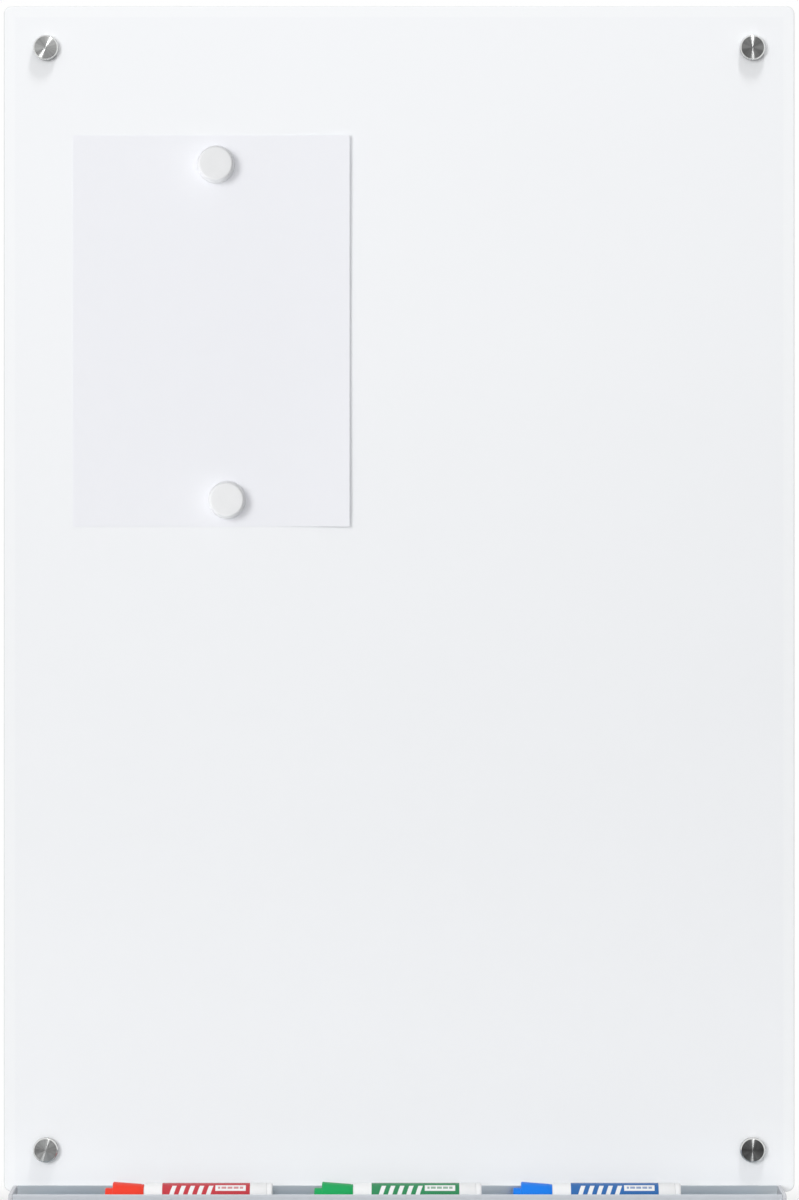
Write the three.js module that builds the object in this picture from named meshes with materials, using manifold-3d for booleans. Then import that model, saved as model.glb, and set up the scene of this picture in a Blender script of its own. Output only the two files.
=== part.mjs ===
// A frameless magnetic glass whiteboard on four stand-off wall fixings, with a pen tray gripped on its
// bottom edge, three capped pens, two round magnets and a sheet of paper.
// Millimetres, +Z up. The front faces -Y. The origin lies on the wall, behind the middle of the board.

import * as THREE from 'three';
import { mergeVertices } from 'three/addons/utils/BufferGeometryUtils.js';
import Module from 'manifold-3d';

// Shared by all pieces
const seatGap = 0.3; // left between two pieces that touch
const cutOverrun = 1; // how far a cutter passes the faces that it cuts
const turnedSides = 24; // sides of a turned piece that shows
const smallSides = 16; // sides of a small turned piece
const anchorSides = 12;
const arcSteps = 4; // half the steps in a rounded corner of an outline
const roundingSteps = 3; // steps in a rounded edge of a turned piece

// Glass panel
const boardWidth = 600;
const boardHeight = 900;
const glassThickness = 4;
const glassCornerRadius = 6;
const glassArris = 0.5; // ground chamfer along every edge
const fixingInset = 32; // from the glass edges to the middle of a fixing

// Steel sheet glued to the back of the glass
const backingThickness = 0.5;
const backingInset = 9;
const backingCornerRadius = 4;
const backingHoleMargin = 2; // left round each rear washer

// Stand-off fixings
const fixingRadius = 9.5;
const capThickness = 4;
const capChamfer = 1;
const studRadius = 4;
const studTipChamfer = 0.8;
const threadPitch = 1.25;
const engagedTurns = 7;
const frontWasherRadius = 8.5;
const frontWasherThickness = 0.8;
const rearWasherRadius = 9;
const rearWasherThickness = 1;
const sleeveWall = 1.4;
const barrelLength = 20;
const barrelChamfer = 0.6;
const barrelFloor = 4;
const barrelBoreClearance = 0.35; // round the stud's thread
const barrelRecessDepth = 0.6; // of the recess in its seat, round the mouth of the wall anchor
const barrelRecessClearance = 0.6; // of that recess round the anchor's ribs

// Wall screws and anchors
const screwRadius = 2.2;
const screwLength = 38;
const screwTipLength = 5;
const screwTipRadius = 0.4;
const screwHeadRadius = 3.9;
const screwHeadHeight = 2.6;
const screwHeadChamfer = 0.9;
const recessSpan = 4.4; // tip to tip across the cross recess
const recessWidth = 1.1;
const recessDepth = 1.6;
const anchorWall = 1.6;
const anchorLength = 32;
const anchorRibHeight = 0.5;
const anchorRibCount = 4;
const anchorSlotWidth = 1.2;
const anchorSlotShare = 0.7; // of the anchor's length, from its inner end

// Pen tray
const trayEndInset = 8.5; // from each side of the board to the end of a centred tray
const trayOffset = -1.3; // of the tray's middle from the board's middle, along X
const trayDepth = 45; // from the glass to the front of the lip
const trayWall = 1.5;
const trayFlangeHeight = 5; // of the front leg over the bottom edge of the glass
const trayBackLegHeight = 12;
const troughDrop = 8.7; // from the bottom edge of the glass to the trough's floor
const troughBackRadius = 8;
const troughFrontRadius = 4;
const lipHeight = 12.5; // over the trough's floor
const endCapThickness = 3;
const endCapCornerRadius = 3;
const endCapPlugLength = 8;
const gripThickness = 0.8;
const gripSetback = 0.4; // of the grip strip from the tops of the tray's legs

// Pens, each measured along its own length from the closed end of its cap
const penLength = 126.2;
const penRadius = 8.5;
const penWall = 1.2;
const penFrontWall = 1.5;
const penShoulderChamfer = 0.8;
const penGapShares = [0.348, 0.502, 0.619]; // of the length left free by the pens, before each pen
const penSetbackShare = 0.45; // of the tray's depth, from the glass
const penCapLength = 29.2;
const penCapNubLength = 5.8;
const penCapNubRadius = 4.8;
const penCapNubChamfer = 1;
const penCapFlareRadius = 9.3;
const penCapFlareChamfer = 1.2;
const penCapMouthRadius = 7.4;
const penCapEndWall = 1.2;
const noseCollarRadius = 6.1;
const noseConeLength = 6;
const noseTipRadius = 3.1;
const noseTipStart = 13;
const noseSpigotRadius = 5.2;
const noseSpigotLength = 8;
const nibRadius = 2;
const nibExposed = 3.5;
const nibTailLength = 3;
const reservoirRadius = 6.4;
const tailPlugLength = 4.3;
const tailPlugRounding = 1.4;
const tailPlugSpigotLength = 5.5;

// Sheet of paper
const sheetWidth = 210;
const sheetHeight = 297;
const sheetThickness = 0.2;
const sheetCentreXShare = -0.2377; // of the board's width, from its middle
const sheetCentreZShare = 0.226; // of the board's height, from its middle
const sheetFlatShare = 0.68; // of the sheet's width that lies flat, from its left edge
const sheetCurlLift = 3.5; // of the right edge off the glass
const sheetCurlKneeShare = 0.5; // of the curl's width, where its bend is pulled to

// Magnets
const magnetPlaceShares = [
  ['upper', 0.018, 0.425],
  ['lower', 0.058, -0.432],
]; // name, then the shares of the sheet's width and height from its middle
const magnetFaceRadius = 13;
const magnetBaseRadius = 14.4;
const magnetHeight = 11.5;
const magnetFaceRounding = 1.6;
const magnetDiscRadius = 10;
const magnetPocketDepth = 5;

// Levels that follow, counted from the wall towards the front
const barrelFrontY = -barrelLength;
const rearWasherBackY = barrelFrontY - seatGap;
const glassBackY = rearWasherBackY - rearWasherThickness - seatGap;
const glassFrontY = glassBackY - glassThickness;
const frontWasherBackY = glassFrontY - seatGap;
const capBackY = frontWasherBackY - frontWasherThickness - seatGap;
const capFrontY = capBackY - capThickness;
const studEngagement = threadPitch * engagedTurns;
const studTipY = barrelFrontY + studEngagement;
const sheetBackY = glassFrontY - seatGap;
const magnetRimY = sheetBackY - sheetThickness - seatGap;
const glassBottomZ = -boardHeight / 2;

// Sizes that follow
const sleeveBoreRadius = studRadius + seatGap;
const sleeveRadius = sleeveBoreRadius + sleeveWall;
const glassHoleRadius = sleeveRadius + seatGap;
const barrelBoreRadius = studRadius + barrelBoreClearance;
const screwHoleRadius = screwRadius + seatGap;
const anchorRadius = screwHoleRadius + anchorWall;
const barrelRecessRadius = anchorRadius + anchorRibHeight + barrelRecessClearance;
const gripSpace = gripThickness + 2 * seatGap;
const trayLength = boardWidth - 2 * trayEndInset;
const extrusionLength = trayLength - 2 * (endCapThickness + seatGap);
const penSocketRadius = noseCollarRadius + seatGap;
const fixingX = boardWidth / 2 - fixingInset;
const fixingZ = boardHeight / 2 - fixingInset;

const quarterTurn = Math.PI / 2;

// Materials
function finish(colour, roughness, metalness) {
  return new THREE.MeshStandardMaterial({ color: colour, roughness, metalness });
}
const whiteGlass = finish(0xf4f6f8, 0.05, 0);
const backingSteel = finish(0x9a9da0, 0.45, 0.9);
const turnedSteel = finish(0xb4b6b6, 0.28, 1);
const zincSteel = finish(0xc2c4bf, 0.4, 0.9);
const clearNylon = finish(0xe6e6e0, 0.5, 0);
const anchorNylon = finish(0xb9bcc0, 0.6, 0);
const anodised = finish(0xb8bcc3, 0.42, 0.85);
const greyPlastic = finish(0xb2b6bc, 0.5, 0);
const gripRubber = finish(0xd8d8d6, 0.7, 0);
const whitePlastic = finish(0xf2f2ef, 0.35, 0);
const felt = finish(0x2f2f33, 0.9, 0);
const fibre = finish(0xe0dccf, 0.95, 0);
const ferrite = finish(0x3a3b3d, 0.6, 0.2);
const paper = finish(0xeeeff4, 0.85, 0);
const penColours = [
  ['red', finish(0xd8341f, 0.35, 0)],
  ['green', finish(0x149650, 0.35, 0)],
  ['blue', finish(0x1870d8, 0.35, 0)],
];

const wasm = await Module();
wasm.setup();

// Joins the vertices that coincide and drops the triangles without area, as at the poles of a turned piece.
function closed(geometry) {
  geometry.deleteAttribute('normal');
  geometry.deleteAttribute('uv');
  const joined = mergeVertices(geometry);
  const corners = joined.index.array;
  const kept = [];
  for (let i = 0; i < corners.length; i += 3) {
    const [a, b, c] = corners.slice(i, i + 3);
    if (a !== b && b !== c && c !== a) kept.push(a, b, c);
  }
  joined.setIndex(kept);
  return joined;
}

function toManifold(geometry) {
  const joined = closed(geometry);
  return new wasm.Manifold(
    new wasm.Mesh({
      numProp: 3,
      vertProperties: new Float32Array(joined.attributes.position.array),
      triVerts: new Uint32Array(joined.index.array),
    }),
  );
}

function fromManifold(solid) {
  const mesh = solid.getMesh();
  const geometry = new THREE.BufferGeometry();
  geometry.setAttribute('position', new THREE.BufferAttribute(mesh.vertProperties, 3));
  geometry.setIndex(new THREE.BufferAttribute(mesh.triVerts, 1));
  return geometry;
}

// A solid turned about Y. The profile is a list of [radius, y], counter-clockwise, that starts and ends
// on the axis.
function turned(profile, sides) {
  const points = profile.map(([radius, y]) => new THREE.Vector2(radius, y));
  return closed(new THREE.LatheGeometry(points, sides));
}

// A ring turned about Y. The profile runs counter-clockwise and closes on its first point.
function turnedRing(profile, sides) {
  return turned([...profile, profile[0]], sides);
}

// A plain ring between two levels.
function plainRing(innerRadius, outerRadius, lowY, highY, sides) {
  return turnedRing(
    [
      [innerRadius, lowY],
      [outerRadius, lowY],
      [outerRadius, highY],
      [innerRadius, highY],
    ],
    sides,
  );
}

// Points along a rounded edge of a turned profile, from one angle to another around its centre.
function rounding(centreRadius, centreY, radius, from, to) {
  return Array.from({ length: roundingSteps + 1 }, (_, step) => {
    const angle = from + ((to - from) * step) / roundingSteps;
    return [centreRadius + radius * Math.cos(angle), centreY + radius * Math.sin(angle)];
  });
}

// A box between two corners.
function boxBetween(low, high) {
  const size = high.map((value, axis) => value - low[axis]);
  const middle = high.map((value, axis) => (value + low[axis]) / 2);
  return new THREE.BoxGeometry(...size).translate(...middle);
}

function piece(name, geometry, material) {
  const mesh = new THREE.Mesh(geometry, material);
  mesh.name = name;
  return mesh;
}

// The outline of a rectangle with round corners, around its middle.
function roundedRectangle(width, height, radius) {
  const right = width / 2 - radius;
  const top = height / 2 - radius;
  const outline = new THREE.Shape();
  outline.absarc(right, top, radius, 0, quarterTurn);
  outline.absarc(-right, top, radius, quarterTurn, 2 * quarterTurn);
  outline.absarc(-right, -top, radius, 2 * quarterTurn, 3 * quarterTurn);
  outline.absarc(right, -top, radius, 3 * quarterTurn, 4 * quarterTurn);
  outline.closePath();
  return outline;
}

// Opens the four fixing holes in an outline of the board.
function withFixingHoles(outline, radius) {
  for (const [x, z] of [[-fixingX, fixingZ], [fixingX, fixingZ], [-fixingX, -fixingZ], [fixingX, -fixingZ]]) {
    const hole = new THREE.Path();
    for (let quarter = 0; quarter < 4; quarter += 1) {
      hole.absarc(x, z, radius, quarter * quarterTurn, (quarter + 1) * quarterTurn);
    }
    outline.holes.push(hole);
  }
  return outline;
}

function glassPanel() {
  const outline = withFixingHoles(
    roundedRectangle(boardWidth, boardHeight, glassCornerRadius),
    glassHoleRadius,
  );
  const sheet = new THREE.ExtrudeGeometry(outline, {
    depth: glassThickness - 2 * glassArris,
    curveSegments: arcSteps,
    bevelThickness: glassArris,
    bevelSize: glassArris,
    bevelOffset: -glassArris,
    bevelSegments: 1,
  });
  sheet.rotateX(quarterTurn);
  const panel = piece('glass_panel', closed(sheet), whiteGlass);
  panel.position.y = glassBackY - glassArris;
  return panel;
}

function steelBacking() {
  const outline = withFixingHoles(
    roundedRectangle(boardWidth - 2 * backingInset, boardHeight - 2 * backingInset, backingCornerRadius),
    rearWasherRadius + backingHoleMargin,
  );
  const sheet = new THREE.ExtrudeGeometry(outline, {
    depth: backingThickness,
    curveSegments: arcSteps,
    bevelEnabled: false,
  });
  sheet.rotateX(quarterTurn);
  const backing = piece('steel_backing', closed(sheet), backingSteel);
  backing.position.y = glassBackY + seatGap + backingThickness;
  return backing;
}

// Cap and stud, turned in one piece. The cap's face is to the front.
function fixingCap() {
  return turned(
    [
      [0, capFrontY],
      [fixingRadius - capChamfer, capFrontY],
      [fixingRadius, capFrontY + capChamfer],
      [fixingRadius, capBackY],
      [studRadius, capBackY],
      [studRadius, studTipY - studTipChamfer],
      [studRadius - studTipChamfer, studTipY],
      [0, studTipY],
    ],
    turnedSides,
  );
}

// The barrel's threaded bore opens to the front. The wall screw goes through the floor, and the seat on
// the wall is a ring round a shallow recess.
function fixingBarrel() {
  return turnedRing(
    [
      [barrelBoreRadius, barrelFrontY],
      [fixingRadius - barrelChamfer, barrelFrontY],
      [fixingRadius, barrelFrontY + barrelChamfer],
      [fixingRadius, -barrelChamfer],
      [fixingRadius - barrelChamfer, 0],
      [barrelRecessRadius, 0],
      [barrelRecessRadius, -barrelRecessDepth],
      [screwHoleRadius, -barrelRecessDepth],
      [screwHoleRadius, -barrelFloor],
      [barrelBoreRadius, -barrelFloor],
    ],
    turnedSides,
  );
}

function wallScrew() {
  const headBackY = -barrelFloor - seatGap;
  const headFrontY = headBackY - screwHeadHeight;
  const tipY = headBackY + screwLength;
  const blank = toManifold(
    turned(
      [
        [0, headFrontY],
        [screwHeadRadius - screwHeadChamfer, headFrontY],
        [screwHeadRadius, headFrontY + screwHeadChamfer],
        [screwHeadRadius, headBackY],
        [screwRadius, headBackY],
        [screwRadius, tipY - screwTipLength],
        [screwTipRadius, tipY],
        [0, tipY],
      ],
      smallSides,
    ),
  );
  const reach = recessSpan / 2;
  const half = recessWidth / 2;
  const frontY = headFrontY - cutOverrun;
  const floorY = headFrontY + recessDepth;
  const across = toManifold(boxBetween([-reach, frontY, -half], [reach, floorY, half]));
  const upright = toManifold(boxBetween([-half, frontY, -reach], [half, floorY, reach]));
  return fromManifold(blank.subtract(across).subtract(upright));
}

// A ribbed plug, split crosswise from its inner end so that the screw can spread it.
function wallAnchor() {
  const endY = seatGap + anchorLength;
  const ribPitch = anchorLength / anchorRibCount;
  const outside = [];
  for (let rib = 0; rib < anchorRibCount; rib += 1) {
    const ribY = seatGap + rib * ribPitch;
    outside.push([anchorRadius + anchorRibHeight, ribY], [anchorRadius, ribY + ribPitch]);
  }
  const plug = toManifold(
    turnedRing([[screwHoleRadius, seatGap], ...outside, [screwHoleRadius, endY]], anchorSides),
  );
  const reach = anchorRadius + anchorRibHeight + cutOverrun;
  const half = anchorSlotWidth / 2;
  const slotY = endY - anchorSlotShare * anchorLength;
  const pastY = endY + cutOverrun;
  const across = toManifold(boxBetween([-reach, slotY, -half], [reach, pastY, half]));
  const upright = toManifold(boxBetween([-half, slotY, -reach], [half, pastY, reach]));
  return fromManifold(plug.subtract(across).subtract(upright));
}

// One stand-off fixing around its own axis, with every piece of it from the cap to the wall anchor.
function fixing(place, x, z) {
  const group = new THREE.Group();
  group.position.set(x, 0, z);
  group.add(
    piece(`cap_${place}`, fixingCap(), turnedSteel),
    piece(
      `front_washer_${place}`,
      plainRing(
        sleeveBoreRadius,
        frontWasherRadius,
        frontWasherBackY - frontWasherThickness,
        frontWasherBackY,
        smallSides,
      ),
      clearNylon,
    ),
    piece(
      `sleeve_${place}`,
      plainRing(sleeveBoreRadius, sleeveRadius, glassFrontY, glassBackY, smallSides),
      clearNylon,
    ),
    piece(
      `rear_washer_${place}`,
      plainRing(
        sleeveBoreRadius,
        rearWasherRadius,
        rearWasherBackY - rearWasherThickness,
        rearWasherBackY,
        smallSides,
      ),
      clearNylon,
    ),
    piece(`barrel_${place}`, fixingBarrel(), turnedSteel),
    piece(`wall_screw_${place}`, wallScrew(), zincSteel),
    piece(`wall_anchor_${place}`, wallAnchor(), anchorNylon),
  );
  return group;
}

// The tray's outlines are drawn with x as the distance in front of the glass and y as the height over the
// bottom edge of the glass. These are the lines that they share.
const tray = {
  backOuter: -glassThickness - gripSpace - trayWall,
  backInner: -glassThickness - gripSpace,
  frontInner: gripSpace,
  frontOuter: gripSpace + trayWall,
  backTop: -gripSpace - trayWall + trayBackLegHeight,
  webTop: -gripSpace,
  webBottom: -gripSpace - trayWall,
  floorTop: -troughDrop,
  floorBottom: -troughDrop - trayWall,
  lipTop: lipHeight - troughDrop,
};

// Extrudes an outline of the tray along X, around the tray's middle.
function alongTray(outline, length) {
  const bar = new THREE.ExtrudeGeometry(outline, {
    depth: length,
    curveSegments: arcSteps,
    bevelEnabled: false,
  });
  bar.translate(0, 0, -length / 2);
  const forward = new THREE.Vector3(0, -1, 0);
  const up = new THREE.Vector3(0, 0, 1);
  const along = new THREE.Vector3(-1, 0, 0);
  bar.applyMatrix4(new THREE.Matrix4().makeBasis(forward, up, along));
  return closed(bar);
}

function trayExtrusion() {
  const lipInner = trayDepth - trayWall;
  const frontCentreX = lipInner - troughFrontRadius;
  const frontCentreY = tray.floorTop + troughFrontRadius;
  const backCentreX = tray.frontOuter + troughBackRadius;
  const backCentreY = tray.floorTop + troughBackRadius;
  const outline = new THREE.Shape();
  outline.moveTo(tray.backOuter, tray.backTop);
  outline.lineTo(tray.backOuter, tray.floorBottom);
  outline.absarc(frontCentreX, frontCentreY, troughFrontRadius + trayWall, -quarterTurn, 0);
  outline.lineTo(trayDepth, tray.lipTop);
  outline.lineTo(lipInner, tray.lipTop);
  outline.absarc(frontCentreX, frontCentreY, troughFrontRadius, 0, -quarterTurn, true);
  outline.absarc(backCentreX, backCentreY, troughBackRadius, -quarterTurn, -2 * quarterTurn, true);
  outline.lineTo(tray.frontOuter, trayFlangeHeight);
  outline.lineTo(tray.frontInner, trayFlangeHeight);
  outline.lineTo(tray.frontInner, tray.webTop);
  outline.lineTo(tray.backInner, tray.webTop);
  outline.lineTo(tray.backInner, tray.backTop);
  outline.closePath();
  const chamber = new THREE.Path();
  chamber.moveTo(tray.backInner, tray.floorTop);
  chamber.lineTo(tray.frontInner, tray.floorTop);
  chamber.lineTo(tray.frontInner, tray.webBottom);
  chamber.lineTo(tray.backInner, tray.webBottom);
  chamber.closePath();
  outline.holes.push(chamber);
  return piece('tray_extrusion', alongTray(outline, extrusionLength), anodised);
}

// An end cap follows the tray's outer outline, and its plug fills the chamber under the glass.
function trayEndCap(name, side) {
  const outline = new THREE.Shape();
  const cornerX = trayDepth - endCapCornerRadius;
  const bottomRadius = troughFrontRadius + trayWall;
  outline.moveTo(tray.backOuter, tray.backTop);
  outline.lineTo(tray.backOuter, tray.floorBottom);
  outline.absarc(trayDepth - bottomRadius, tray.floorBottom + bottomRadius, bottomRadius, -quarterTurn, 0);
  outline.absarc(cornerX, tray.lipTop - endCapCornerRadius, endCapCornerRadius, 0, quarterTurn);
  outline.lineTo(tray.frontOuter, trayFlangeHeight);
  outline.lineTo(tray.frontInner, trayFlangeHeight);
  outline.lineTo(tray.frontInner, tray.webTop);
  outline.lineTo(tray.backInner, tray.webTop);
  outline.lineTo(tray.backInner, tray.backTop);
  outline.closePath();
  const plate = toManifold(alongTray(outline, endCapThickness));
  const plugRootX = -side * (endCapThickness / 2 - seatGap);
  const plugTipX = -side * (endCapThickness / 2 + seatGap + endCapPlugLength);
  const plug = toManifold(
    boxBetween(
      [Math.min(plugRootX, plugTipX), -tray.frontInner + seatGap, tray.floorTop + seatGap],
      [Math.max(plugRootX, plugTipX), -tray.backInner - seatGap, tray.webBottom - seatGap],
    ),
  );
  const cap = piece(name, fromManifold(plate.add(plug)), greyPlastic);
  cap.position.x = (side * (trayLength - endCapThickness)) / 2;
  return cap;
}

// A soft channel between the tray's legs and the glass.
function trayGripStrip() {
  const backOuter = tray.backInner + seatGap;
  const frontOuter = tray.frontInner - seatGap;
  const backTop = tray.backTop - trayWall - gripSetback;
  const frontTop = trayFlangeHeight - gripSetback;
  const bottom = tray.webTop + seatGap;
  const outline = new THREE.Shape();
  outline.moveTo(backOuter, bottom);
  outline.lineTo(frontOuter, bottom);
  outline.lineTo(frontOuter, frontTop);
  outline.lineTo(frontOuter - gripThickness, frontTop);
  outline.lineTo(frontOuter - gripThickness, bottom + gripThickness);
  outline.lineTo(backOuter + gripThickness, bottom + gripThickness);
  outline.lineTo(backOuter + gripThickness, backTop);
  outline.lineTo(backOuter, backTop);
  outline.closePath();
  return piece('tray_grip_strip', alongTray(outline, extrusionLength), gripRubber);
}

// Places along a pen, from the closed end of its cap, that its pieces share
const pen = {
  shoulder: penCapLength + seatGap,
  barrelEnd: penLength - tailPlugLength - seatGap,
  tailPlugStart: penLength - tailPlugLength - tailPlugSpigotLength,
  noseEnd: penCapLength + noseSpigotLength,
  nibTip: noseTipStart - nibExposed,
};

function penCap() {
  const cavityEnd = penCapNubLength + penCapEndWall;
  return turned(
    [
      [0, 0],
      [penCapNubRadius - penCapNubChamfer, 0],
      [penCapNubRadius, penCapNubChamfer],
      [penCapNubRadius, penCapNubLength],
      [penCapFlareRadius - penCapFlareChamfer, penCapNubLength],
      [penCapFlareRadius, penCapNubLength + penCapFlareChamfer],
      [penCapMouthRadius, penCapLength],
      [penSocketRadius, penCapLength],
      [penSocketRadius, cavityEnd],
      [0, cavityEnd],
    ],
    turnedSides,
  );
}

function penBarrel() {
  const bore = penRadius - penWall;
  const noseHole = noseSpigotRadius + seatGap;
  return turnedRing(
    [
      [noseHole, pen.shoulder],
      [penRadius - penShoulderChamfer, pen.shoulder],
      [penRadius, pen.shoulder + penShoulderChamfer],
      [penRadius, pen.barrelEnd],
      [bore, pen.barrelEnd],
      [bore, pen.shoulder + penFrontWall],
      [noseHole, pen.shoulder + penFrontWall],
    ],
    turnedSides,
  );
}

function penNose() {
  const nibHole = nibRadius + seatGap;
  return turnedRing(
    [
      [nibHole, noseTipStart],
      [noseTipRadius, noseTipStart],
      [noseCollarRadius, noseTipStart + noseConeLength],
      [noseCollarRadius, penCapLength],
      [noseSpigotRadius, penCapLength],
      [noseSpigotRadius, pen.noseEnd],
      [nibHole, pen.noseEnd],
    ],
    smallSides,
  );
}

function penNib() {
  const tailEnd = pen.noseEnd + nibTailLength;
  return turned(
    [
      ...rounding(0, pen.nibTip + nibRadius, nibRadius, -quarterTurn, 0),
      [nibRadius, tailEnd],
      [0, tailEnd],
    ],
    smallSides,
  );
}

function penReservoir() {
  const start = pen.noseEnd + nibTailLength + seatGap;
  const end = pen.tailPlugStart - seatGap;
  return turned(
    [
      [0, start],
      [reservoirRadius, start],
      [reservoirRadius, end],
      [0, end],
    ],
    smallSides,
  );
}

function penTailPlug() {
  const spigotRadius = penRadius - penWall - seatGap;
  const flangeStart = penLength - tailPlugLength;
  return turned(
    [
      [0, pen.tailPlugStart],
      [spigotRadius, pen.tailPlugStart],
      [spigotRadius, flangeStart],
      [penRadius, flangeStart],
      ...rounding(
        penRadius - tailPlugRounding,
        penLength - tailPlugRounding,
        tailPlugRounding,
        0,
        quarterTurn,
      ),
      [0, penLength],
    ],
    turnedSides,
  );
}

// A capped pen that lies along the trough with its cap to the left.
function cappedPen(colourName, colour, start) {
  const group = new THREE.Group();
  group.position.set(
    start,
    -penSetbackShare * trayDepth,
    tray.floorTop + penCapFlareRadius + seatGap,
  );
  group.rotation.z = -quarterTurn;
  group.add(
    piece(`pen_${colourName}_cap`, penCap(), colour),
    piece(`pen_${colourName}_barrel`, penBarrel(), whitePlastic),
    piece(`pen_${colourName}_nose`, penNose(), whitePlastic),
    piece(`pen_${colourName}_nib`, penNib(), felt),
    piece(`pen_${colourName}_reservoir`, penReservoir(), fibre),
    piece(`pen_${colourName}_tail_plug`, penTailPlug(), whitePlastic),
  );
  return group;
}

// The tray and all that lies in it, placed on the bottom front edge of the glass.
function penTray() {
  const group = new THREE.Group();
  group.position.set(trayOffset, glassFrontY, glassBottomZ);
  group.add(
    trayExtrusion(),
    trayEndCap('tray_end_cap_left', -1),
    trayEndCap('tray_end_cap_right', 1),
    trayGripStrip(),
  );
  const freeLength = trayLength - penColours.length * penLength;
  penColours.forEach(([colourName, colour], index) => {
    const start = -trayLength / 2 + index * penLength + penGapShares[index] * freeLength;
    group.add(cappedPen(colourName, colour, start));
  });
  return group;
}

// The sheet lies flat on the glass, and its right side curls forward.
function noteSheet() {
  const left = -sheetWidth / 2;
  const right = sheetWidth / 2;
  const curlStart = left + sheetFlatShare * sheetWidth;
  const knee = curlStart + sheetCurlKneeShare * (right - curlStart);
  const outline = new THREE.Shape();
  outline.moveTo(left, 0);
  outline.lineTo(curlStart, 0);
  outline.quadraticCurveTo(knee, 0, right, -sheetCurlLift);
  outline.lineTo(right, -sheetCurlLift - sheetThickness);
  outline.quadraticCurveTo(knee, -sheetThickness, curlStart, -sheetThickness);
  outline.lineTo(left, -sheetThickness);
  outline.closePath();
  const sheet = new THREE.ExtrudeGeometry(outline, {
    depth: sheetHeight,
    curveSegments: 2 * arcSteps,
    bevelEnabled: false,
  });
  sheet.translate(0, 0, -sheetHeight / 2);
  return piece('note_sheet', closed(sheet), paper);
}

// A white plastic shell, open at the back, where the magnet disc sits.
function magnetShell() {
  return turned(
    [
      [0, -magnetHeight],
      ...rounding(
        magnetFaceRadius - magnetFaceRounding,
        -magnetHeight + magnetFaceRounding,
        magnetFaceRounding,
        -quarterTurn,
        0,
      ),
      [magnetBaseRadius, 0],
      [magnetDiscRadius + seatGap, 0],
      [magnetDiscRadius + seatGap, -magnetPocketDepth],
      [0, -magnetPocketDepth],
    ],
    turnedSides,
  );
}

function magnetDisc() {
  return turned(
    [
      [0, -magnetPocketDepth + seatGap],
      [magnetDiscRadius, -magnetPocketDepth + seatGap],
      [magnetDiscRadius, 0],
      [0, 0],
    ],
    smallSides,
  );
}

// The sheet of paper and the two magnets that hold it, around the middle of the sheet.
function heldSheet() {
  const group = new THREE.Group();
  group.position.set(sheetCentreXShare * boardWidth, 0, sheetCentreZShare * boardHeight);
  const sheet = noteSheet();
  sheet.position.y = sheetBackY;
  group.add(sheet);
  for (const [place, xShare, zShare] of magnetPlaceShares) {
    const magnet = new THREE.Group();
    magnet.position.set(xShare * sheetWidth, magnetRimY, zShare * sheetHeight);
    magnet.add(
      piece(`magnet_shell_${place}`, magnetShell(), whitePlastic),
      piece(`magnet_disc_${place}`, magnetDisc(), ferrite),
    );
    group.add(magnet);
  }
  return group;
}

const board = new THREE.Group();
board.add(
  glassPanel(),
  steelBacking(),
  fixing('top_left', -fixingX, fixingZ),
  fixing('top_right', fixingX, fixingZ),
  fixing('bottom_left', -fixingX, -fixingZ),
  fixing('bottom_right', fixingX, -fixingZ),
  penTray(),
  heldSheet(),
);

export default board;
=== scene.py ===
import math
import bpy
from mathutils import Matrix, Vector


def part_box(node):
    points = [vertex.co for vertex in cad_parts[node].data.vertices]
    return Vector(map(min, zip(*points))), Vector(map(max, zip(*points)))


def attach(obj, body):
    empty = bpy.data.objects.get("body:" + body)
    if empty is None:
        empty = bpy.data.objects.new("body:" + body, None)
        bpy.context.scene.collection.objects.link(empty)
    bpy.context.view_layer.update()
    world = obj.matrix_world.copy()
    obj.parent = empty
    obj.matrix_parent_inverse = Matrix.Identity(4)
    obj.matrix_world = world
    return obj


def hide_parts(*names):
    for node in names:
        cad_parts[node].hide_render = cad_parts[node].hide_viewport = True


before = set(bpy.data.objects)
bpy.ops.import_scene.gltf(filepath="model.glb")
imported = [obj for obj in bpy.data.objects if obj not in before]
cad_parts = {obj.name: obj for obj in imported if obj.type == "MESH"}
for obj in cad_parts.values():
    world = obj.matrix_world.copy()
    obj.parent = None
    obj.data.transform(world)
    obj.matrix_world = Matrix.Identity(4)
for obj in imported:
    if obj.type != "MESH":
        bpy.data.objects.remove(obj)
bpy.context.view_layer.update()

from types import SimpleNamespace

import bpy
from mathutils import Vector

bl_info = {
    "name": "Glass whiteboard",
    "version": (1, 0, 0),
    "blender": (4, 5, 0),
    "location": "View3D > Sidebar > Whiteboard",
    "description": "Dresses a frameless glass whiteboard with its fixings, pen tray, pens and paper",
    "category": "Object",
}

PLACES = ("top_left", "top_right", "bottom_left", "bottom_right")
PEN_COLOURS = ("red", "green", "blue")
FULL_TURN = 2 * math.pi
SHARP = math.radians(30)
UPRIGHT = (math.pi / 2, 0, 0)
ACROSS = Vector((1, 0, 0))
INWARD = Vector((0, 1, 0))
UPWARD = Vector((0, 0, 1))

# Lengths in metres that many pieces share

WELD = 0.000002
GAP = 0.0003
STEEL_ROUNDING = 0.00008
RING_SIZE = 0.00022
PRINT_HEIGHT = 0.00007

# The range that most of a noise stays in

NOISE_LOW = 0.3
NOISE_HIGH = 0.7

# The collections of a lamp: which pieces it lights, and which throw a shadow in its light

LIT = ("receiver",)
LIT_AND_SHADED = ("receiver", "blocker")
MIRRORED = ("glint", "low_glint")
OUT_OF_KEY = {"key_lamp_receiver": "EXCLUDE", "key_lamp_blocker": "EXCLUDE"}


# Properties

def length(name, description, default):
    """A size in metres."""
    return bpy.props.FloatProperty(
        name=name, description=description, default=default, unit="LENGTH", precision=5
    )


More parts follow.
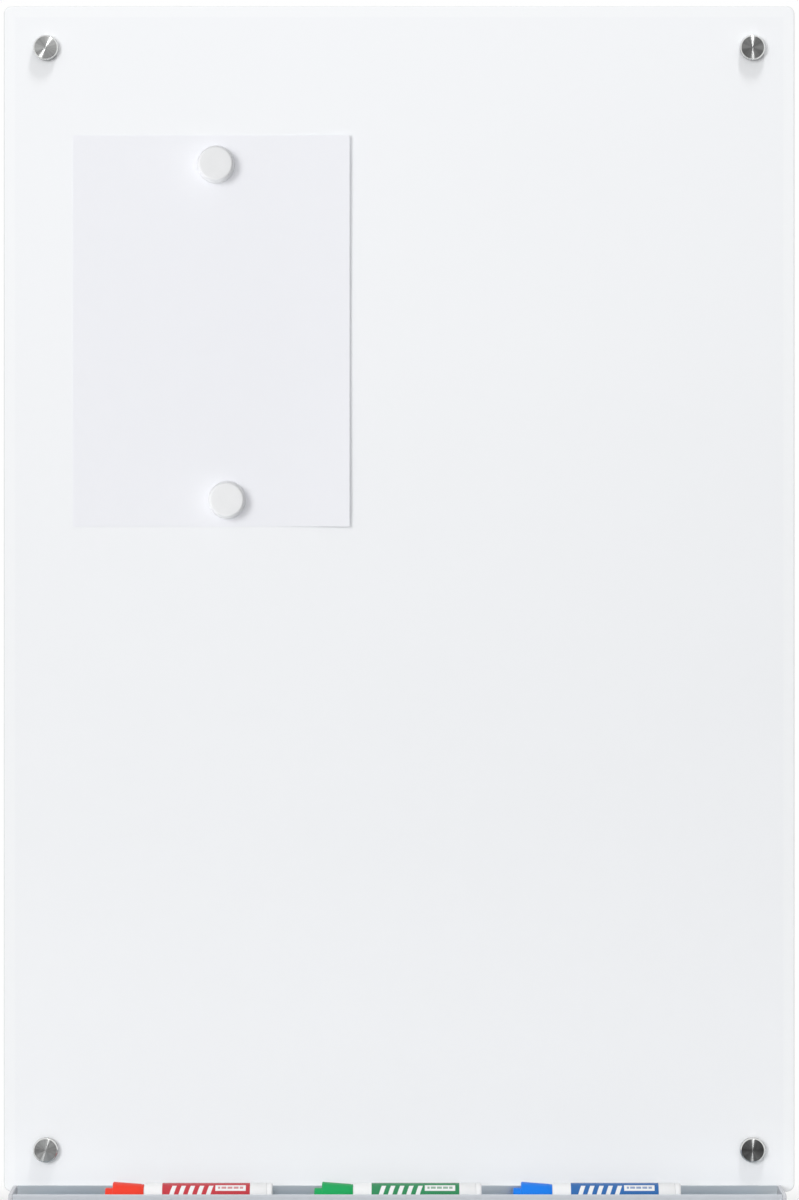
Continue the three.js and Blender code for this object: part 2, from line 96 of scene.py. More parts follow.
def number(name, description, default):
    """A plain number, such as a share or a strength."""
    return bpy.props.FloatProperty(name=name, description=description, default=default, min=0)


def colour(name, description, default):
    """A colour in linear light."""
    return bpy.props.FloatVectorProperty(
        name=name, description=description, default=default, size=3, min=0, max=1, subtype="COLOR"
    )


class BoardSettings(bpy.types.PropertyGroup):
    """The glass sheet and the steel glued to its back."""

    corner_radius: length("Corner radius", "Radius of the glass sheet's corners", 0.006)
    arris: length("Arris", "Width of the ground chamfer along the glass edges", 0.0012)
    hole_radius: length("Hole radius", "Radius of the four holes in the glass", 0.006)
    border: length("Border", "Width of the clear-backed border beyond the steel sheet", 0.0085)
    backing_hole_radius: length("Backing hole radius", "Radius of the holes in the steel", 0.011)
    backing_corner_radius: length("Backing corner radius", "Radius of the steel's corners", 0.004)
    glass_colour: colour("Glass colour", "White paint seen through the glass", (0.93, 0.944, 0.965))
    border_colour: colour("Border colour", "The glass beyond the steel sheet", (0.95, 0.964, 0.98))
    edge_colour: colour("Edge colour", "The polished edge of the glass", (0.56, 0.68, 0.64))
    arris_colour: colour("Arris colour", "The frosted chamfer of the glass", (0.7, 0.73, 0.72))
    primer_colour: colour("Primer colour", "The grey primer on the steel", (0.42, 0.43, 0.44))


class FixingSettings(bpy.types.PropertyGroup):
    """The four stand-off fixings."""

    cap_chamfer: length("Cap chamfer", "Width of the polished chamfer round each cap", 0.001)
    stud_radius: length("Stud radius", "Radius over the stud's thread", 0.004)
    stud_root: length("Stud root radius", "Radius at the root of the stud's thread", 0.00338)
    stud_pitch: length("Stud pitch", "Pitch of the stud's thread", 0.00125)
    washer_bore: length("Washer bore", "Inner radius of the washers and the sleeve", 0.0043)
    barrel_bore: length("Barrel bore", "Radius of the barrel's threaded bore", 0.00435)
    barrel_floor: length("Barrel floor", "Thickness of the barrel's floor", 0.004)
    recess_radius: length("Recess radius", "Radius of the recess in the barrel's seat", 0.0052)
    recess_depth: length("Recess depth", "Depth of the recess in the barrel's seat", 0.0006)
    screw_hole: length("Screw hole", "Radius of the hole for the wall screw", 0.0025)
    screw_radius: length("Screw radius", "Radius over the wall screw's thread", 0.0022)
    screw_root: length("Screw root radius", "Radius at the root of the wall screw's thread", 0.0015)
    screw_pitch: length("Screw pitch", "Pitch of the wall screw's thread", 0.0018)
    head_height: length("Head height", "Height of the wall screw's head", 0.0026)
    anchor_radius: length("Anchor radius", "Radius of the wall anchor between its ribs", 0.0041)
    anchor_ribs: bpy.props.IntProperty(
        name="Anchor ribs", description="Ribs along each wall anchor", default=8, min=1
    )
    anchor_slot: length("Anchor slot", "Width of the slots that split each wall anchor", 0.0012)
    steel_colour: colour("Steel colour", "Turned stainless steel", (0.45, 0.455, 0.45))
    # Painted shade: the four caps are one steel, and each cap's face colour is scaled by its own factor
    # to stand in for how much light falls on that cap.
    cap_shades: bpy.props.FloatVectorProperty(
        name="Cap shades",
        description="How light each cap's face is, row by row from the top left",
        default=(1.35, 0.6, 1.05, 0.29), size=4, min=0,
    )
    nylon_colour: colour("Nylon colour", "Milky nylon of the washers and sleeves", (0.8, 0.8, 0.77))
    anchor_colour: colour("Anchor colour", "Moulded nylon of the anchors", (0.42, 0.43, 0.45))


class TraySettings(bpy.types.PropertyGroup):
    """The extruded pen tray, its end caps and its grip strip."""

    wall: length("Wall", "Thickness of the tray's walls", 0.0015)
    depth: length("Depth", "From the glass to the front of the lip", 0.045)
    flange_height: length("Flange height", "Of the front leg over the edge of the glass", 0.005)
    back_leg_height: length("Back leg height", "Of the leg behind the glass", 0.012)
    trough_drop: length("Trough drop", "From the glass edge to the trough's floor", 0.0087)
    trough_back_radius: length("Trough back radius", "Of the trough's rear corner", 0.008)
    trough_front_radius: length("Trough front radius", "Of the trough's front corner", 0.004)
    lip_height: length("Lip height", "Of the lip over the trough's floor", 0.0125)
    grip_space: length("Grip space", "Between the tray's legs and the glass", 0.0014)
    grip_thickness: length("Grip thickness", "Of the grip strip", 0.0008)
    cap_thickness: length("End cap thickness", "Of the end caps' plates", 0.003)
    cap_corner: length("End cap corner", "Radius at the top of an end cap's front", 0.003)
    aluminium_colour: colour("Aluminium colour", "Satin anodised aluminium", (0.545, 0.6, 0.65))
    # Painted light: the lip is the same aluminium as the rest of the tray, coloured lighter where its
    # front faces the light.
    lip_painted_light_colour: colour("Lip colour", "The brighter front of the tray's lip", (0.757, 0.792, 0.845))
    end_cap_colour: colour("End cap colour", "Moulded plastic of the end caps", (0.56, 0.57, 0.6))
    grip_colour: colour("Grip colour", "Soft strip that grips the glass", (0.7, 0.7, 0.69))


class PenSettings(bpy.types.PropertyGroup):
    """The three capped pens, measured from the closed end of the cap."""

    radius: length("Radius", "Radius of the body", 0.0085)
    wall: length("Wall", "Thickness of the body's wall", 0.0012)
    cap_length: length("Cap length", "Of the whole cap", 0.0292)
    nub_length: length("Nub length", "Of the narrow end of the cap", 0.0058)
    nub_radius: length("Nub radius", "Of the narrow end of the cap", 0.0048)
    flare_radius: length("Flare radius", "Of the cap behind its narrow end", 0.0093)
    mouth_radius: length("Mouth radius", "Of the cap at its mouth", 0.0074)
    socket_radius: length("Socket radius", "Inside the cap", 0.0064)
    nose_start: length("Nose start", "Where the nose begins inside the cap", 0.013)
    nose_radius: length("Nose radius", "Of the nose's collar", 0.0061)
    nib_radius: length("Nib radius", "Of the felt nib", 0.002)
    rod_radius: length("Rod radius", "Of the ink reservoir", 0.0064)
    plug_length: length("Plug length", "Of the part of the tail plug that shows", 0.0043)
    label_start: length("Label start", "Where the printed label begins", 0.0432)
    label_end: length("Label end", "Where the printed label ends", 0.1093)
    bars_start: length("Bars start", "Where the slanted bars begin", 0.047)
    bars_end: length("Bars end", "Where the slanted bars end", 0.0815)
    field_start: length("Field start", "Where the small white field begins", 0.0833)
    field_end: length("Field end", "Where the small white field ends", 0.1062)
    white: colour("White", "Moulded plastic of the body", (0.905, 0.908, 0.91))
    red: colour("Red", "Red cap", (0.9, 0.048, 0.022))
    green: colour("Green", "Green cap", (0.006, 0.39, 0.105))
    blue: colour("Blue", "Blue cap", (0.003, 0.215, 0.87))
    red_label: colour("Red label", "Ink of the red label", (0.56, 0.024, 0.04))
    green_label: colour("Green label", "Ink of the green label", (0.01, 0.25, 0.085))
    blue_label: colour("Blue label", "Ink of the blue label", (0.008, 0.13, 0.42))


class SheetSettings(bpy.types.PropertyGroup):
    """The sheet of paper and its two magnets."""

    thickness: length("Thickness", "Of the paper", 0.00014)
    flat_share: number("Flat share", "Share of the width that lies flat", 0.68)
    face_rounding: length("Face rounding", "Radius round each magnet's face", 0.0016)
    face_radius: length("Face radius", "Radius of each magnet at its face", 0.013)
    disc_radius: length("Disc radius", "Radius of the magnet disc in its shell", 0.01)
    pocket_depth: length("Pocket depth", "Depth of the disc's pocket", 0.005)
    paper_colour: colour("Paper colour", "Uncoated office paper", (0.893, 0.902, 0.94))
    magnet_colour: colour("Magnet colour", "Satin plastic of the magnets", (0.808, 0.815, 0.824))


class StageSettings(bpy.types.PropertyGroup):
    """The floor, the light and the camera."""

    floor_drop: length("Floor drop", "From the tray down to the floor", 0.04)
    floor_width: length("Floor width", "Of the floor from side to side", 1.5)
    floor_depth: length("Floor depth", "Of the floor from front to back", 0.9)
    camera_distance: length("Camera distance", "From the glass to the camera", 3.34)
    camera_aside: length("Camera aside", "How far right of the middle the camera is", 0.00027)
    camera_drop: length("Camera drop", "How far below the middle the camera is", 0.00087)
    camera_lens: number("Lens", "Focal length in millimetres", 132.0)
    ambient: number("Ambient", "Strength of the even light", 0.125)
    side_lean: number("Side lean", "How much more of the even light comes from the left", 0.9)
    top_lean: number("Top lean", "How much more of the even light comes from above", 1.9)
    front_lean: number("Front lean", "How much more of the even light comes from the front", 4.0)
    front_low: number("Front low", "Brightness of the room's lower front as gloss shows it", 0.12)
    front_high: number("Front high", "Brightness of the room's upper front as gloss shows it", 0.85)
    key_power: number("Key power", "Power of the ceiling lamp, in watts", 38.0)
    glint_power: number("Glint power", "Power of the lamp that only the caps show, in watts", 60.0)
    low_glint_power: number("Low glint power", "Power of the lamp that the lower right cap shows", 42.0)
    fill_power: number("Fill power", "Power of the lamp that lights the pens, in watts", 36.0)
    low_power: number("Low power", "Power of the lamp that lights the magnets, in watts", 18.5)
    strip_power: number("Strip power", "Power of the strip lamp over the tray, in watts", 0.014)
    window_power: number("Window power", "Power of the large lamp at the left, in watts", 112.0)
    back_power: number("Back power", "Power of the large lamp behind the board, in watts", 38.0)


# Modelling

def deselect():
    """Deselects every object, since loading leaves the frame's nodes selected."""
    bpy.ops.object.select_all(action="DESELECT")


def activate(piece):
    """Selects a piece alone and makes it the active one."""
    deselect()
    piece.select_set(True)
    bpy.context.view_layer.objects.active = piece


def named(name):
    """Names the active piece and its mesh."""
    piece = bpy.context.object
    piece.name = name
    piece.data.name = name
    return piece


def editing():
    """Opens the active piece with all of it selected."""
    bpy.ops.object.mode_set(mode="EDIT")
    bpy.ops.mesh.select_all(action="SELECT")


def done_editing():
    bpy.ops.object.mode_set(mode="OBJECT")


def pick_vertices(piece, wanted):
    """Selects the vertices of a piece whose place a test wants, and leaves it open for editing."""
    done_editing()
    mesh = piece.data
    for parts in (mesh.vertices, mesh.edges, mesh.polygons):
        parts.foreach_set("select", [False] * len(parts))
    for vertex in mesh.vertices:
        vertex.select = wanted(vertex.co)
    bpy.ops.object.mode_set(mode="EDIT")


def extrude(offset):
    """Extrudes what is selected."""
    bpy.ops.mesh.extrude_region_move(TRANSFORM_OT_translate={"value": offset})


def trace(points):
    """Draws a chain of edges through the points, in edit mode, from a plane merged to its middle."""
    bpy.ops.mesh.select_all(action="DESELECT")
    bpy.ops.mesh.primitive_plane_add(size=0.001, location=points[0])
    bpy.ops.mesh.merge(type="CENTER")
    for before, after in zip(points, points[1:]):
        extrude(after - before)


def begin(name, points):
    """Starts a piece from a chain of edges and leaves it open for editing."""
    deselect()
    bpy.ops.mesh.primitive_plane_add()
    piece = named(name)
    editing()
    bpy.ops.mesh.delete(type="VERT")
    trace(points)
    return piece


def settle():
    """Merges doubles and turns every face outwards, in edit mode, then leaves it."""
    bpy.ops.mesh.select_all(action="SELECT")
    bpy.ops.mesh.remove_doubles(threshold=WELD)
    bpy.ops.mesh.normals_make_consistent(inside=False)
    done_editing()


def apply_modifier(piece, kind, **settings):
    """Adds a modifier to a piece and applies it."""
    activate(piece)
    modifier = piece.modifiers.new(kind.title(), kind)
    for name, value in settings.items():
        setattr(modifier, name, value)
    bpy.ops.object.modifier_apply(modifier=modifier.name)


def smooth(piece):
    """Smooths the shading of a piece, but not over its sharp edges."""
    activate(piece)
    bpy.ops.object.shade_smooth_by_angle(angle=SHARP)
    return piece


def soften(piece, width, segments=2):
    """Rounds the sharp edges of a piece and smooths the rest."""
    apply_modifier(
        piece, "BEVEL", width=width, segments=segments, limit_method="ANGLE", angle_limit=SHARP
    )
    return smooth(piece)


def turned(name, profile, axis=INWARD, sides=72):
    """Turns a profile of (radius, place along the axis) into a closed piece at the origin."""
    outward = UPWARD if axis == ACROSS else ACROSS
    piece = begin(name, [radius * outward + along * axis for radius, along in profile])
    bpy.ops.mesh.select_all(action="SELECT")
    bpy.ops.mesh.spin(steps=sides, angle=FULL_TURN, center=(0, 0, 0), axis=axis)
    settle()
    return piece


def turned_ring(name, profile, axis=INWARD, sides=72):
    """Turns a profile that closes on its first point."""
    return turned(name, [*profile, profile[0]], axis, sides)


def extruded(name, outlines, offset):
    """Fills one outline, with any more outlines as holes, and extrudes the face by an offset."""
    piece = begin(name, [*outlines[0], outlines[0][0]])
    for hole in outlines[1:]:
        trace([*hole, hole[0]])
    bpy.ops.mesh.select_all(action="SELECT")
    bpy.ops.mesh.remove_doubles(threshold=WELD)
    if len(outlines) > 1:
        bpy.ops.mesh.fill(use_beauty=True)
    else:
        bpy.ops.mesh.edge_face_add()
    bpy.ops.mesh.select_all(action="SELECT")
    extrude(offset)
    settle()
    return piece


def arc(centre, radius, start, end, steps):
    """Points of an arc in a plane, angles in degrees."""
    turns = [math.radians(start + (end - start) * step / steps) for step in range(steps + 1)]
    return [
        (centre[0] + radius * math.cos(turn), centre[1] + radius * math.sin(turn)) for turn in turns
    ]


def swapped(points):
    """The points with their two numbers the other way round."""
    return [(second, first) for first, second in points]


def threaded(name, root, crest, pitch, start, end, steps=36):
    """A right-hand thread along Y between two levels, with its ends filled."""
    profile = ((root, 0), (root, 0.12), (crest, 0.44), (crest, 0.56), (root, 0.88), (root, 1))
    piece = begin(name, [radius * ACROSS + (start + rise * pitch) * INWARD for radius, rise in profile])
    done_editing()
    apply_modifier(
        piece, "SCREW", axis="Y", angle=FULL_TURN, screw_offset=pitch,
        iterations=max(1, int((end - start) / pitch) - 1), steps=steps, render_steps=steps,
        use_merge_vertices=True, merge_threshold=WELD,
    )
    editing()
    bpy.ops.mesh.remove_doubles(threshold=WELD)
    bpy.ops.mesh.select_mode(type="EDGE")
    bpy.ops.mesh.select_all(action="DESELECT")
    bpy.ops.mesh.select_non_manifold(
        extend=False, use_wire=False, use_multi_face=False, use_non_contiguous=False, use_verts=False
    )
    bpy.ops.mesh.fill()
    bpy.ops.mesh.select_mode(type="VERT")
    settle()
    return piece


def joined(piece, other):
    """Joins another piece into the first one."""
    activate(piece)
    other.select_set(True)
    bpy.ops.object.join()
    return piece


def cut(piece, cutter):
    """Cuts one piece by another, which is used up."""
    apply_modifier(piece, "BOOLEAN", operation="DIFFERENCE", object=cutter, solver="EXACT")
    bpy.data.objects.remove(cutter)


def block(low, high):
    """A box between two corners, to cut with or to join on."""
    deselect()
    low, high = Vector(low), Vector(high)
    bpy.ops.mesh.primitive_cube_add(size=1, location=(low + high) / 2)
    bpy.ops.transform.resize(value=high - low)
    bpy.ops.object.transform_apply()
    return bpy.context.object


def cut_cross(piece, reach, half, low, high):
    """Cuts two crossed slots along Y between two levels."""
    for aside, up in ((reach, half), (half, reach)):
        cut(piece, block((-aside, low, -up), (aside, high, up)))


def keep_place(piece):
    """Stores every point's place on the piece itself, which its materials follow on every copy."""
    mesh = piece.data
    places = [0.0] * (3 * len(mesh.vertices))
    mesh.vertices.foreach_get("co", places)
    mesh.attributes.new("own_place", "FLOAT_VECTOR", "POINT").data.foreach_set("vector", places)


def copy_of(piece, name, offset):
    """A copy of a piece, moved in its mesh, with a mesh of its own."""
    activate(piece)
    bpy.ops.object.duplicate()
    bpy.ops.transform.translate(value=offset)
    bpy.ops.object.transform_apply()
    return named(name)


def coat(piece, *materials, by=None):
    """Gives a piece its materials. The test says which of them each face takes."""
    piece.data.materials.clear()
    for material in materials:
        piece.data.materials.append(material)
    if by:
        for face in piece.data.polygons:
            face.material_index = by(face)
    return piece


def fit(piece, body, node):
    """Puts a finished piece on its body, in place of the frame's own node."""
    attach(piece, body)
    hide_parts(node)


def link_to_lamps(piece, **states):
    """Lets a piece take part in the light or the shadow of lamps, or leaves it out."""
    for group, state in states.items():
        collection = bpy.data.collections[group]
        collection.objects.link(piece)
        collection.collection_objects[-1].light_linking.link_state = state


# Sizes of the frame's nodes

def middle_of(node):
    """The middle of a node as seen from the front."""
    low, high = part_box(node)
    return Vector(((low.x + high.x) / 2, 0, (low.z + high.z) / 2))


def levels(node):
    """Lowest and highest Y of a node."""
    low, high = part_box(node)
    return low.y, high.y


def radius_of(node):
    low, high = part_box(node)
    return (high.x - low.x) / 2


# Materials

def add_node(tree, kind, values=None, **settings):
    """Adds a node with its settings, and sets or links its inputs by name or number."""
    node = tree.nodes.new(f"ShaderNode{kind}")
    for name, value in settings.items():
        setattr(node, name, value)
    for name, value in (values or {}).items():
        if isinstance(value, Signal):
            tree.links.new(value.socket, node.inputs[name])
        else:
            node.inputs[name].default_value = value
    return node


class Signal:
    """What a node gives out, and what is worked out from it."""

    def __init__(self, node, output=0):
        self.tree = node.id_data
        self.socket = node.outputs[output]

    def calc(self, operation, *others, kind="Math"):
        """The result of an operation on this and up to two others."""
        values = dict(enumerate((self, *others)))
        return Signal(add_node(self.tree, kind, values, operation=operation))

    def __add__(self, other):
        return self.calc("ADD", other)

    def __sub__(self, other):
        return self.calc("SUBTRACT", other)

    def __mul__(self, other):
        return self.calc("MULTIPLY", other)

    def __truediv__(self, other):
        return self.calc("DIVIDE", other)

    def __abs__(self):
        return self.calc("ABSOLUTE")

    def opposite(self):
        """1 where this is 0, and 0 where this is 1."""
        return Signal(add_node(self.tree, "Math", {0: 1, 1: self}, operation="SUBTRACT"))

    def split(self):
        """The three numbers of a place."""
        node = add_node(self.tree, "SeparateXYZ", {0: self})
        return [Signal(node, part) for part in range(3)]

    def spread(self, low, high, new_low=0, new_high=1):
        """Maps a number from one range to another, and stays within the new one."""
        names = ("Value", "From Min", "From Max", "To Min", "To Max")
        values = dict(zip(names, (self, low, high, new_low, new_high)))
        return Signal(add_node(self.tree, "MapRange", values))

    def usual(self, new_low, new_high):
        """Maps a noise to a range of its own."""
        return self.spread(NOISE_LOW, NOISE_HIGH, new_low, new_high)

    def between(self, low, high, edge):
        """1 between two levels and 0 outside, over a narrow edge."""
        return self.spread(low - edge, low + edge) * self.spread(high - edge, high + edge, 1, 0)

    def choose(self, first, second):
        """Goes from one number to another as this one goes from 0 to 1."""
        return Signal(add_node(self.tree, "Mix", {0: self, 2: first, 3: second}, data_type="FLOAT"))

    def blend(self, first, second):
        """Goes from one colour to another as this number goes from 0 to 1."""
        first, second = (end if isinstance(end, Signal) else (*end, 1) for end in (first, second))
        return Signal(add_node(self.tree, "Mix", {0: self, 6: first, 7: second}, data_type="RGBA"), 2)

    def toned(self, base, amount):
        """Goes from a little darker than a colour to a little lighter."""
        dark, light = ([min(1, part * (1 + change)) for part in base] for change in (-amount, amount))
        return self.blend(dark, light)

    def grain(self, size, detail=2, stretch=(1, 1, 1), roughness=0.5):
        """A noise with features of about a size in metres, longer along a stretched axis."""
        scale = [1 / (size * part) for part in stretch]
        place = Signal(add_node(self.tree, "Mapping", {"Vector": self, "Scale": scale}))
        values = {"Vector": place, "Scale": 1, "Detail": detail, "Roughness": roughness}
        return Signal(add_node(self.tree, "TexNoise", values))

    def rings(self):
        """Fine rings along a distance, as a turning tool leaves them."""
        values = {"W": self / RING_SIZE, "Scale": 1, "Detail": 3}
        return Signal(add_node(self.tree, "TexNoise", values, noise_dimensions="1D"))


class Finish:
    """A Principled material in the making."""

    def __init__(self, name, **sockets):
        self.material = bpy.data.materials.new(name)
        self.material.use_nodes = True
        self.tree = self.material.node_tree
        self.shader = self.tree.nodes["Principled BSDF"]
        for socket, value in sockets.items():
            self.shader.inputs[socket.replace("_", " ")].default_value = value

    def place(self):
        """The place on the object."""
        return Signal(add_node(self.tree, "TexCoord"), "Object")

    def own_place(self):
        """The place on the pattern that the object is a copy of."""
        return Signal(add_node(self.tree, "Attribute", attribute_name="own_place"), "Vector")

    def done(self, base, rough, height=None, depth=0, axis=None):
        """Links the pattern, a relief of a depth in metres, and the axis that its lines run round."""
        values = {"Base Color": base, "Roughness": rough}
        if height:
            relief = {"Height": height, "Distance": depth, "Strength": 1}
            values["Normal"] = Signal(add_node(self.tree, "Bump", relief))
        if axis:
            values["Tangent"] = Signal(
                add_node(self.tree, "Tangent", direction_type="RADIAL", axis=axis)
            )
        for name, value in values.items():
            self.tree.links.new(value.socket, self.shader.inputs[name])
        return self.material


def white_glass(board):
    """White-backed glass with a lighter border, faintly hazed where it has been wiped."""
    low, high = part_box("glass_panel")
    finish = Finish("white_glass", IOR=1.5)
    place = finish.place()
    x, _, z = place.split()
    past_x = abs(x) - ((high.x - low.x) / 2 - board.border)
    past_z = abs(z) - ((high.z - low.z) / 2 - board.border)
    in_border = past_x.calc("MAXIMUM", past_z).spread(-0.0005, 0.0008)
    haze = place.grain(0.11, 4, stretch=(1.6, 1, 0.7))
    wiped = place.grain(0.02, 3, stretch=(3, 1, 0.4))
    base = in_border.blend(haze.toned(board.glass_colour, 0.006), board.border_colour)
    rough = (haze * wiped).spread(0.1, 0.45, 0.035, 0.1)
    return finish.done(base, rough, place.grain(0.16, 1), depth=0.00004)


def glass_edge(board):
    """The polished edge of the glass, green where it is seen through its length."""
    low, high = levels("glass_panel")
    finish = Finish("glass_edge", IOR=1.5)
    place = finish.place()
    _, y, _ = place.split()
    from_middle = abs(y - (low + high) / 2).spread(0, (high - low) / 2)
    ripple = place.grain(0.0025, 3, stretch=(4, 0.12, 4))
    base = (ripple * 0.35).blend(from_middle.toned(board.edge_colour, 0.16), (0.86, 0.93, 0.91))
    return finish.done(base, ripple.usual(0.06, 0.2), ripple, depth=0.00003)


def ground_arris(board):
    """The frosted chamfer along the glass edges."""
    finish = Finish("ground_arris", IOR=1.5)
    frost = finish.place().grain(0.0004, 3)
    base = frost.toned(board.arris_colour, 0.06)
    return finish.done(base, frost.usual(0.45, 0.65), frost, depth=0.00002)


def back_paint():
    """White paint on the back of the glass, with a faint roller texture."""
    finish = Finish("back_paint")
    place = finish.place()
    roller = place.grain(0.0016)
    base = place.grain(0.09, 3).blend((0.8, 0.815, 0.81), (0.86, 0.87, 0.865))
    return finish.done(base, roller.usual(0.38, 0.55), roller, depth=0.00006)


def steel_primer(board):
    """Grey primer over steel, with orange peel and a few rubbed patches."""
    finish = Finish("steel_primer")
    place = finish.place()
    cloud = place.grain(0.07, 4, stretch=(2.5, 1, 0.8))
    rubbed = place.grain(0.03, 5).spread(0.62, 0.72, 0, 0.35)
    base = rubbed.blend(cloud.toned(board.primer_colour, 0.07), (0.52, 0.53, 0.53))
    return finish.done(base, cloud.usual(0.4, 0.58), place.grain(0.0014), depth=0.00005)


def painted_reflection_sectors(finish):
    """Uneven wedges round the Y axis, as a face tool leaves them, which the colour follows so strongly
    that they are also a painted reflection. They differ from copy to copy.
    """
    copies_apart = (7, 7, 7)
    own_place = finish.own_place()
    x, _, z = own_place.split()
    turn = Signal(add_node(finish.tree, "CombineXYZ", {"X": x, "Z": z}))
    outward = turn.calc("NORMALIZE", kind="VectorMath")
    away = finish.place().calc("SUBTRACT", own_place, kind="VectorMath")
    return away.calc("MULTIPLY_ADD", copies_apart, outward, kind="VectorMath").grain(0.55, 3)


def turned_steel(name, fixing, on_face, rough, anisotropy, painted_shade_factor=1.0):
    """Turned stainless steel, whose fine rings draw its highlight out across them."""
    finish = Finish(name, Metallic=1, Anisotropic=anisotropy, Anisotropic_Rotation=0.25)
    own_place = finish.own_place()
    x, y, z = own_place.split()
    grooves = ((x * x + z * z).calc("SQRT") if on_face else y).rings()
    # The wedges swing the colour by 42 percent each way: they are tool marks, and also a painted
    # reflection of the light and dark that a turned face mirrors.
    lines = (painted_reflection_sectors(finish) * 2.2 + grooves).spread(1, 2.2)
    smear = own_place.grain(0.004, 3) * 0.12
    # Painted shade: the steel colour is scaled per cap, lighter or darker to stand in for the light on
    # that cap.
    steel = [part * painted_shade_factor for part in fixing.steel_colour]
    base = smear.blend(lines.toned(steel, 0.42), (0.3, 0.3, 0.31))
    return finish.done(
        base, grooves.usual(rough * 0.95, rough * 1.05), grooves, depth=0.000001, axis="Y"
    )


def polished_steel(fixing):
    """The bright chamfer round a cap."""
    finish = Finish("polished_steel", Metallic=1)
    smear = finish.own_place().grain(0.003, 3)
    light = [min(1, part * 1.55) for part in fixing.steel_colour]
    return finish.done(smear.toned(light, 0.04), smear.usual(0.08, 0.16))


def zinc_plate():
    """Bright zinc on the wall screws, cloudy at close range."""
    finish = Finish("zinc_plate", Metallic=1)
    cloud = finish.own_place().grain(0.0018, 4)
    base = cloud.blend((0.55, 0.56, 0.5), (0.68, 0.68, 0.64))
    return finish.done(base, cloud.usual(0.26, 0.45), cloud, depth=0.000012)


def moulded(name, base, rough, texture_size=0.0005, depth=0.000012, cloud=0.02, **sockets):
    """Moulded plastic with the fine texture of its mould."""
    finish = Finish(name, **sockets)
    place = finish.own_place()
    texture = place.grain(texture_size)
    base = place.grain(texture_size * 24, 3).toned(base, cloud)
    return finish.done(base, texture.usual(rough * 0.88, rough * 1.12), texture, depth)


def anodised(tray):
    """Satin anodised aluminium with fine lines along the extrusion, and painted light on the lip's
    front, which is coloured lighter than the rest of the same metal.
    """
    finish = Finish("anodised_aluminium", Metallic=1, Anisotropic=0.8)
    place = finish.own_place()
    lines = place.grain(0.0004, 3, stretch=(400, 1, 1))
    satin = place.grain(0.0003, stretch=(6, 1, 1))
    cloud = place.grain(0.03, 3, stretch=(3, 1, 1)) * 0.1
    _, y, _ = finish.place().split()
    front, _ = levels("tray_extrusion")
    # Painted light: the lip's front takes a lighter colour than the rest of the extrusion.
    painted_light_on_lip = y.spread(front + 0.0008, front + 0.002, 1, 0)
    base = painted_light_on_lip.blend(lines.toned(tray.aluminium_colour, 0.05), lines.toned(tray.lip_painted_light_colour, 0.05))
    base = cloud.blend(base, (0.7, 0.71, 0.72))
    return finish.done(base, satin.usual(0.3, 0.36), lines + satin, depth=0.000003, axis="X")


def pen_body(pen, ink_name):
    """White plastic with a printed label: a coloured band, slanted bars and a small ruled field."""
    finish = Finish(f"pen_body_{ink_name}", Coat_Weight=0.12, Coat_Roughness=0.2)
    edge = 0.00012
    margin = 0.002
    slope = 0.32
    bar_count, bar_share = 5, (0.2, 0.68)
    dash_pitch, dash_share, dash_edge = 0.0046, (0.1, 0.9), 0.03
    bars_round, field_round, rule_round = (-0.0004, 0.0081), (0.0036, 0.0087), (0.0053, 0.0072)
    place = finish.own_place()
    x, y, z = place.split()
    turn = z.calc("ARCTAN2", y * -1) * pen.radius
    band = x.between(pen.label_start, pen.label_end, edge)

    slant = x - turn * slope
    pitch = (pen.bars_end - pen.bars_start) / bar_count
    beat = ((slant - pen.bars_start) / pitch).calc("FRACT")
    bars = beat.between(*bar_share, edge / pitch) * slant.between(pen.bars_start, pen.bars_end, edge)
    bars = bars * turn.between(*bars_round, edge)

    field = x.between(pen.field_start, pen.field_end, edge) * turn.between(*field_round, edge)
    dashes = (x / dash_pitch).calc("FRACT").between(*dash_share, dash_edge)
    rule = x.between(pen.field_start + margin, pen.field_end - margin, edge)
    rule = rule * turn.between(*rule_round, edge) * (dashes * 0.7)
    white_print = bars.calc("MAXIMUM", field * rule.opposite())
    printed = band * white_print.opposite()

    flow = place.grain(0.012, 3)
    texture = place.grain(0.0006)
    label = flow.toned(getattr(pen, f"{ink_name}_label"), 0.06)
    base = printed.blend(flow.toned(pen.white, 0.015), label)
    rough = (texture + band).spread(0.3, 1.7, 0.34, 0.2)
    return finish.done(base, rough, texture * 0.3 + band, depth=0.00002)


def felt(name, base):
    """Bonded fibres along X."""
    finish = Finish(name, Sheen_Weight=0.3)
    fibre = finish.own_place().grain(0.00022, 4, stretch=(7, 1, 1))
    return finish.done(fibre.toned(base, 0.35), fibre.usual(0.85, 0.95), fibre, depth=0.00006)


def office_paper(sheet):
    """Uncoated paper with its fibre and a faint cloud."""
    finish = Finish("office_paper")
    place = finish.place()
    fibre = place.grain(0.0005, 5, stretch=(1, 1, 2.2), roughness=0.65)
    cloud = place.grain(0.018, 4)
    base = ((fibre + cloud) * 0.5).toned(sheet.paper_colour, 0.012)
    return finish.done(base, fibre.usual(0.8, 0.95), fibre, depth=0.000025)


# Board

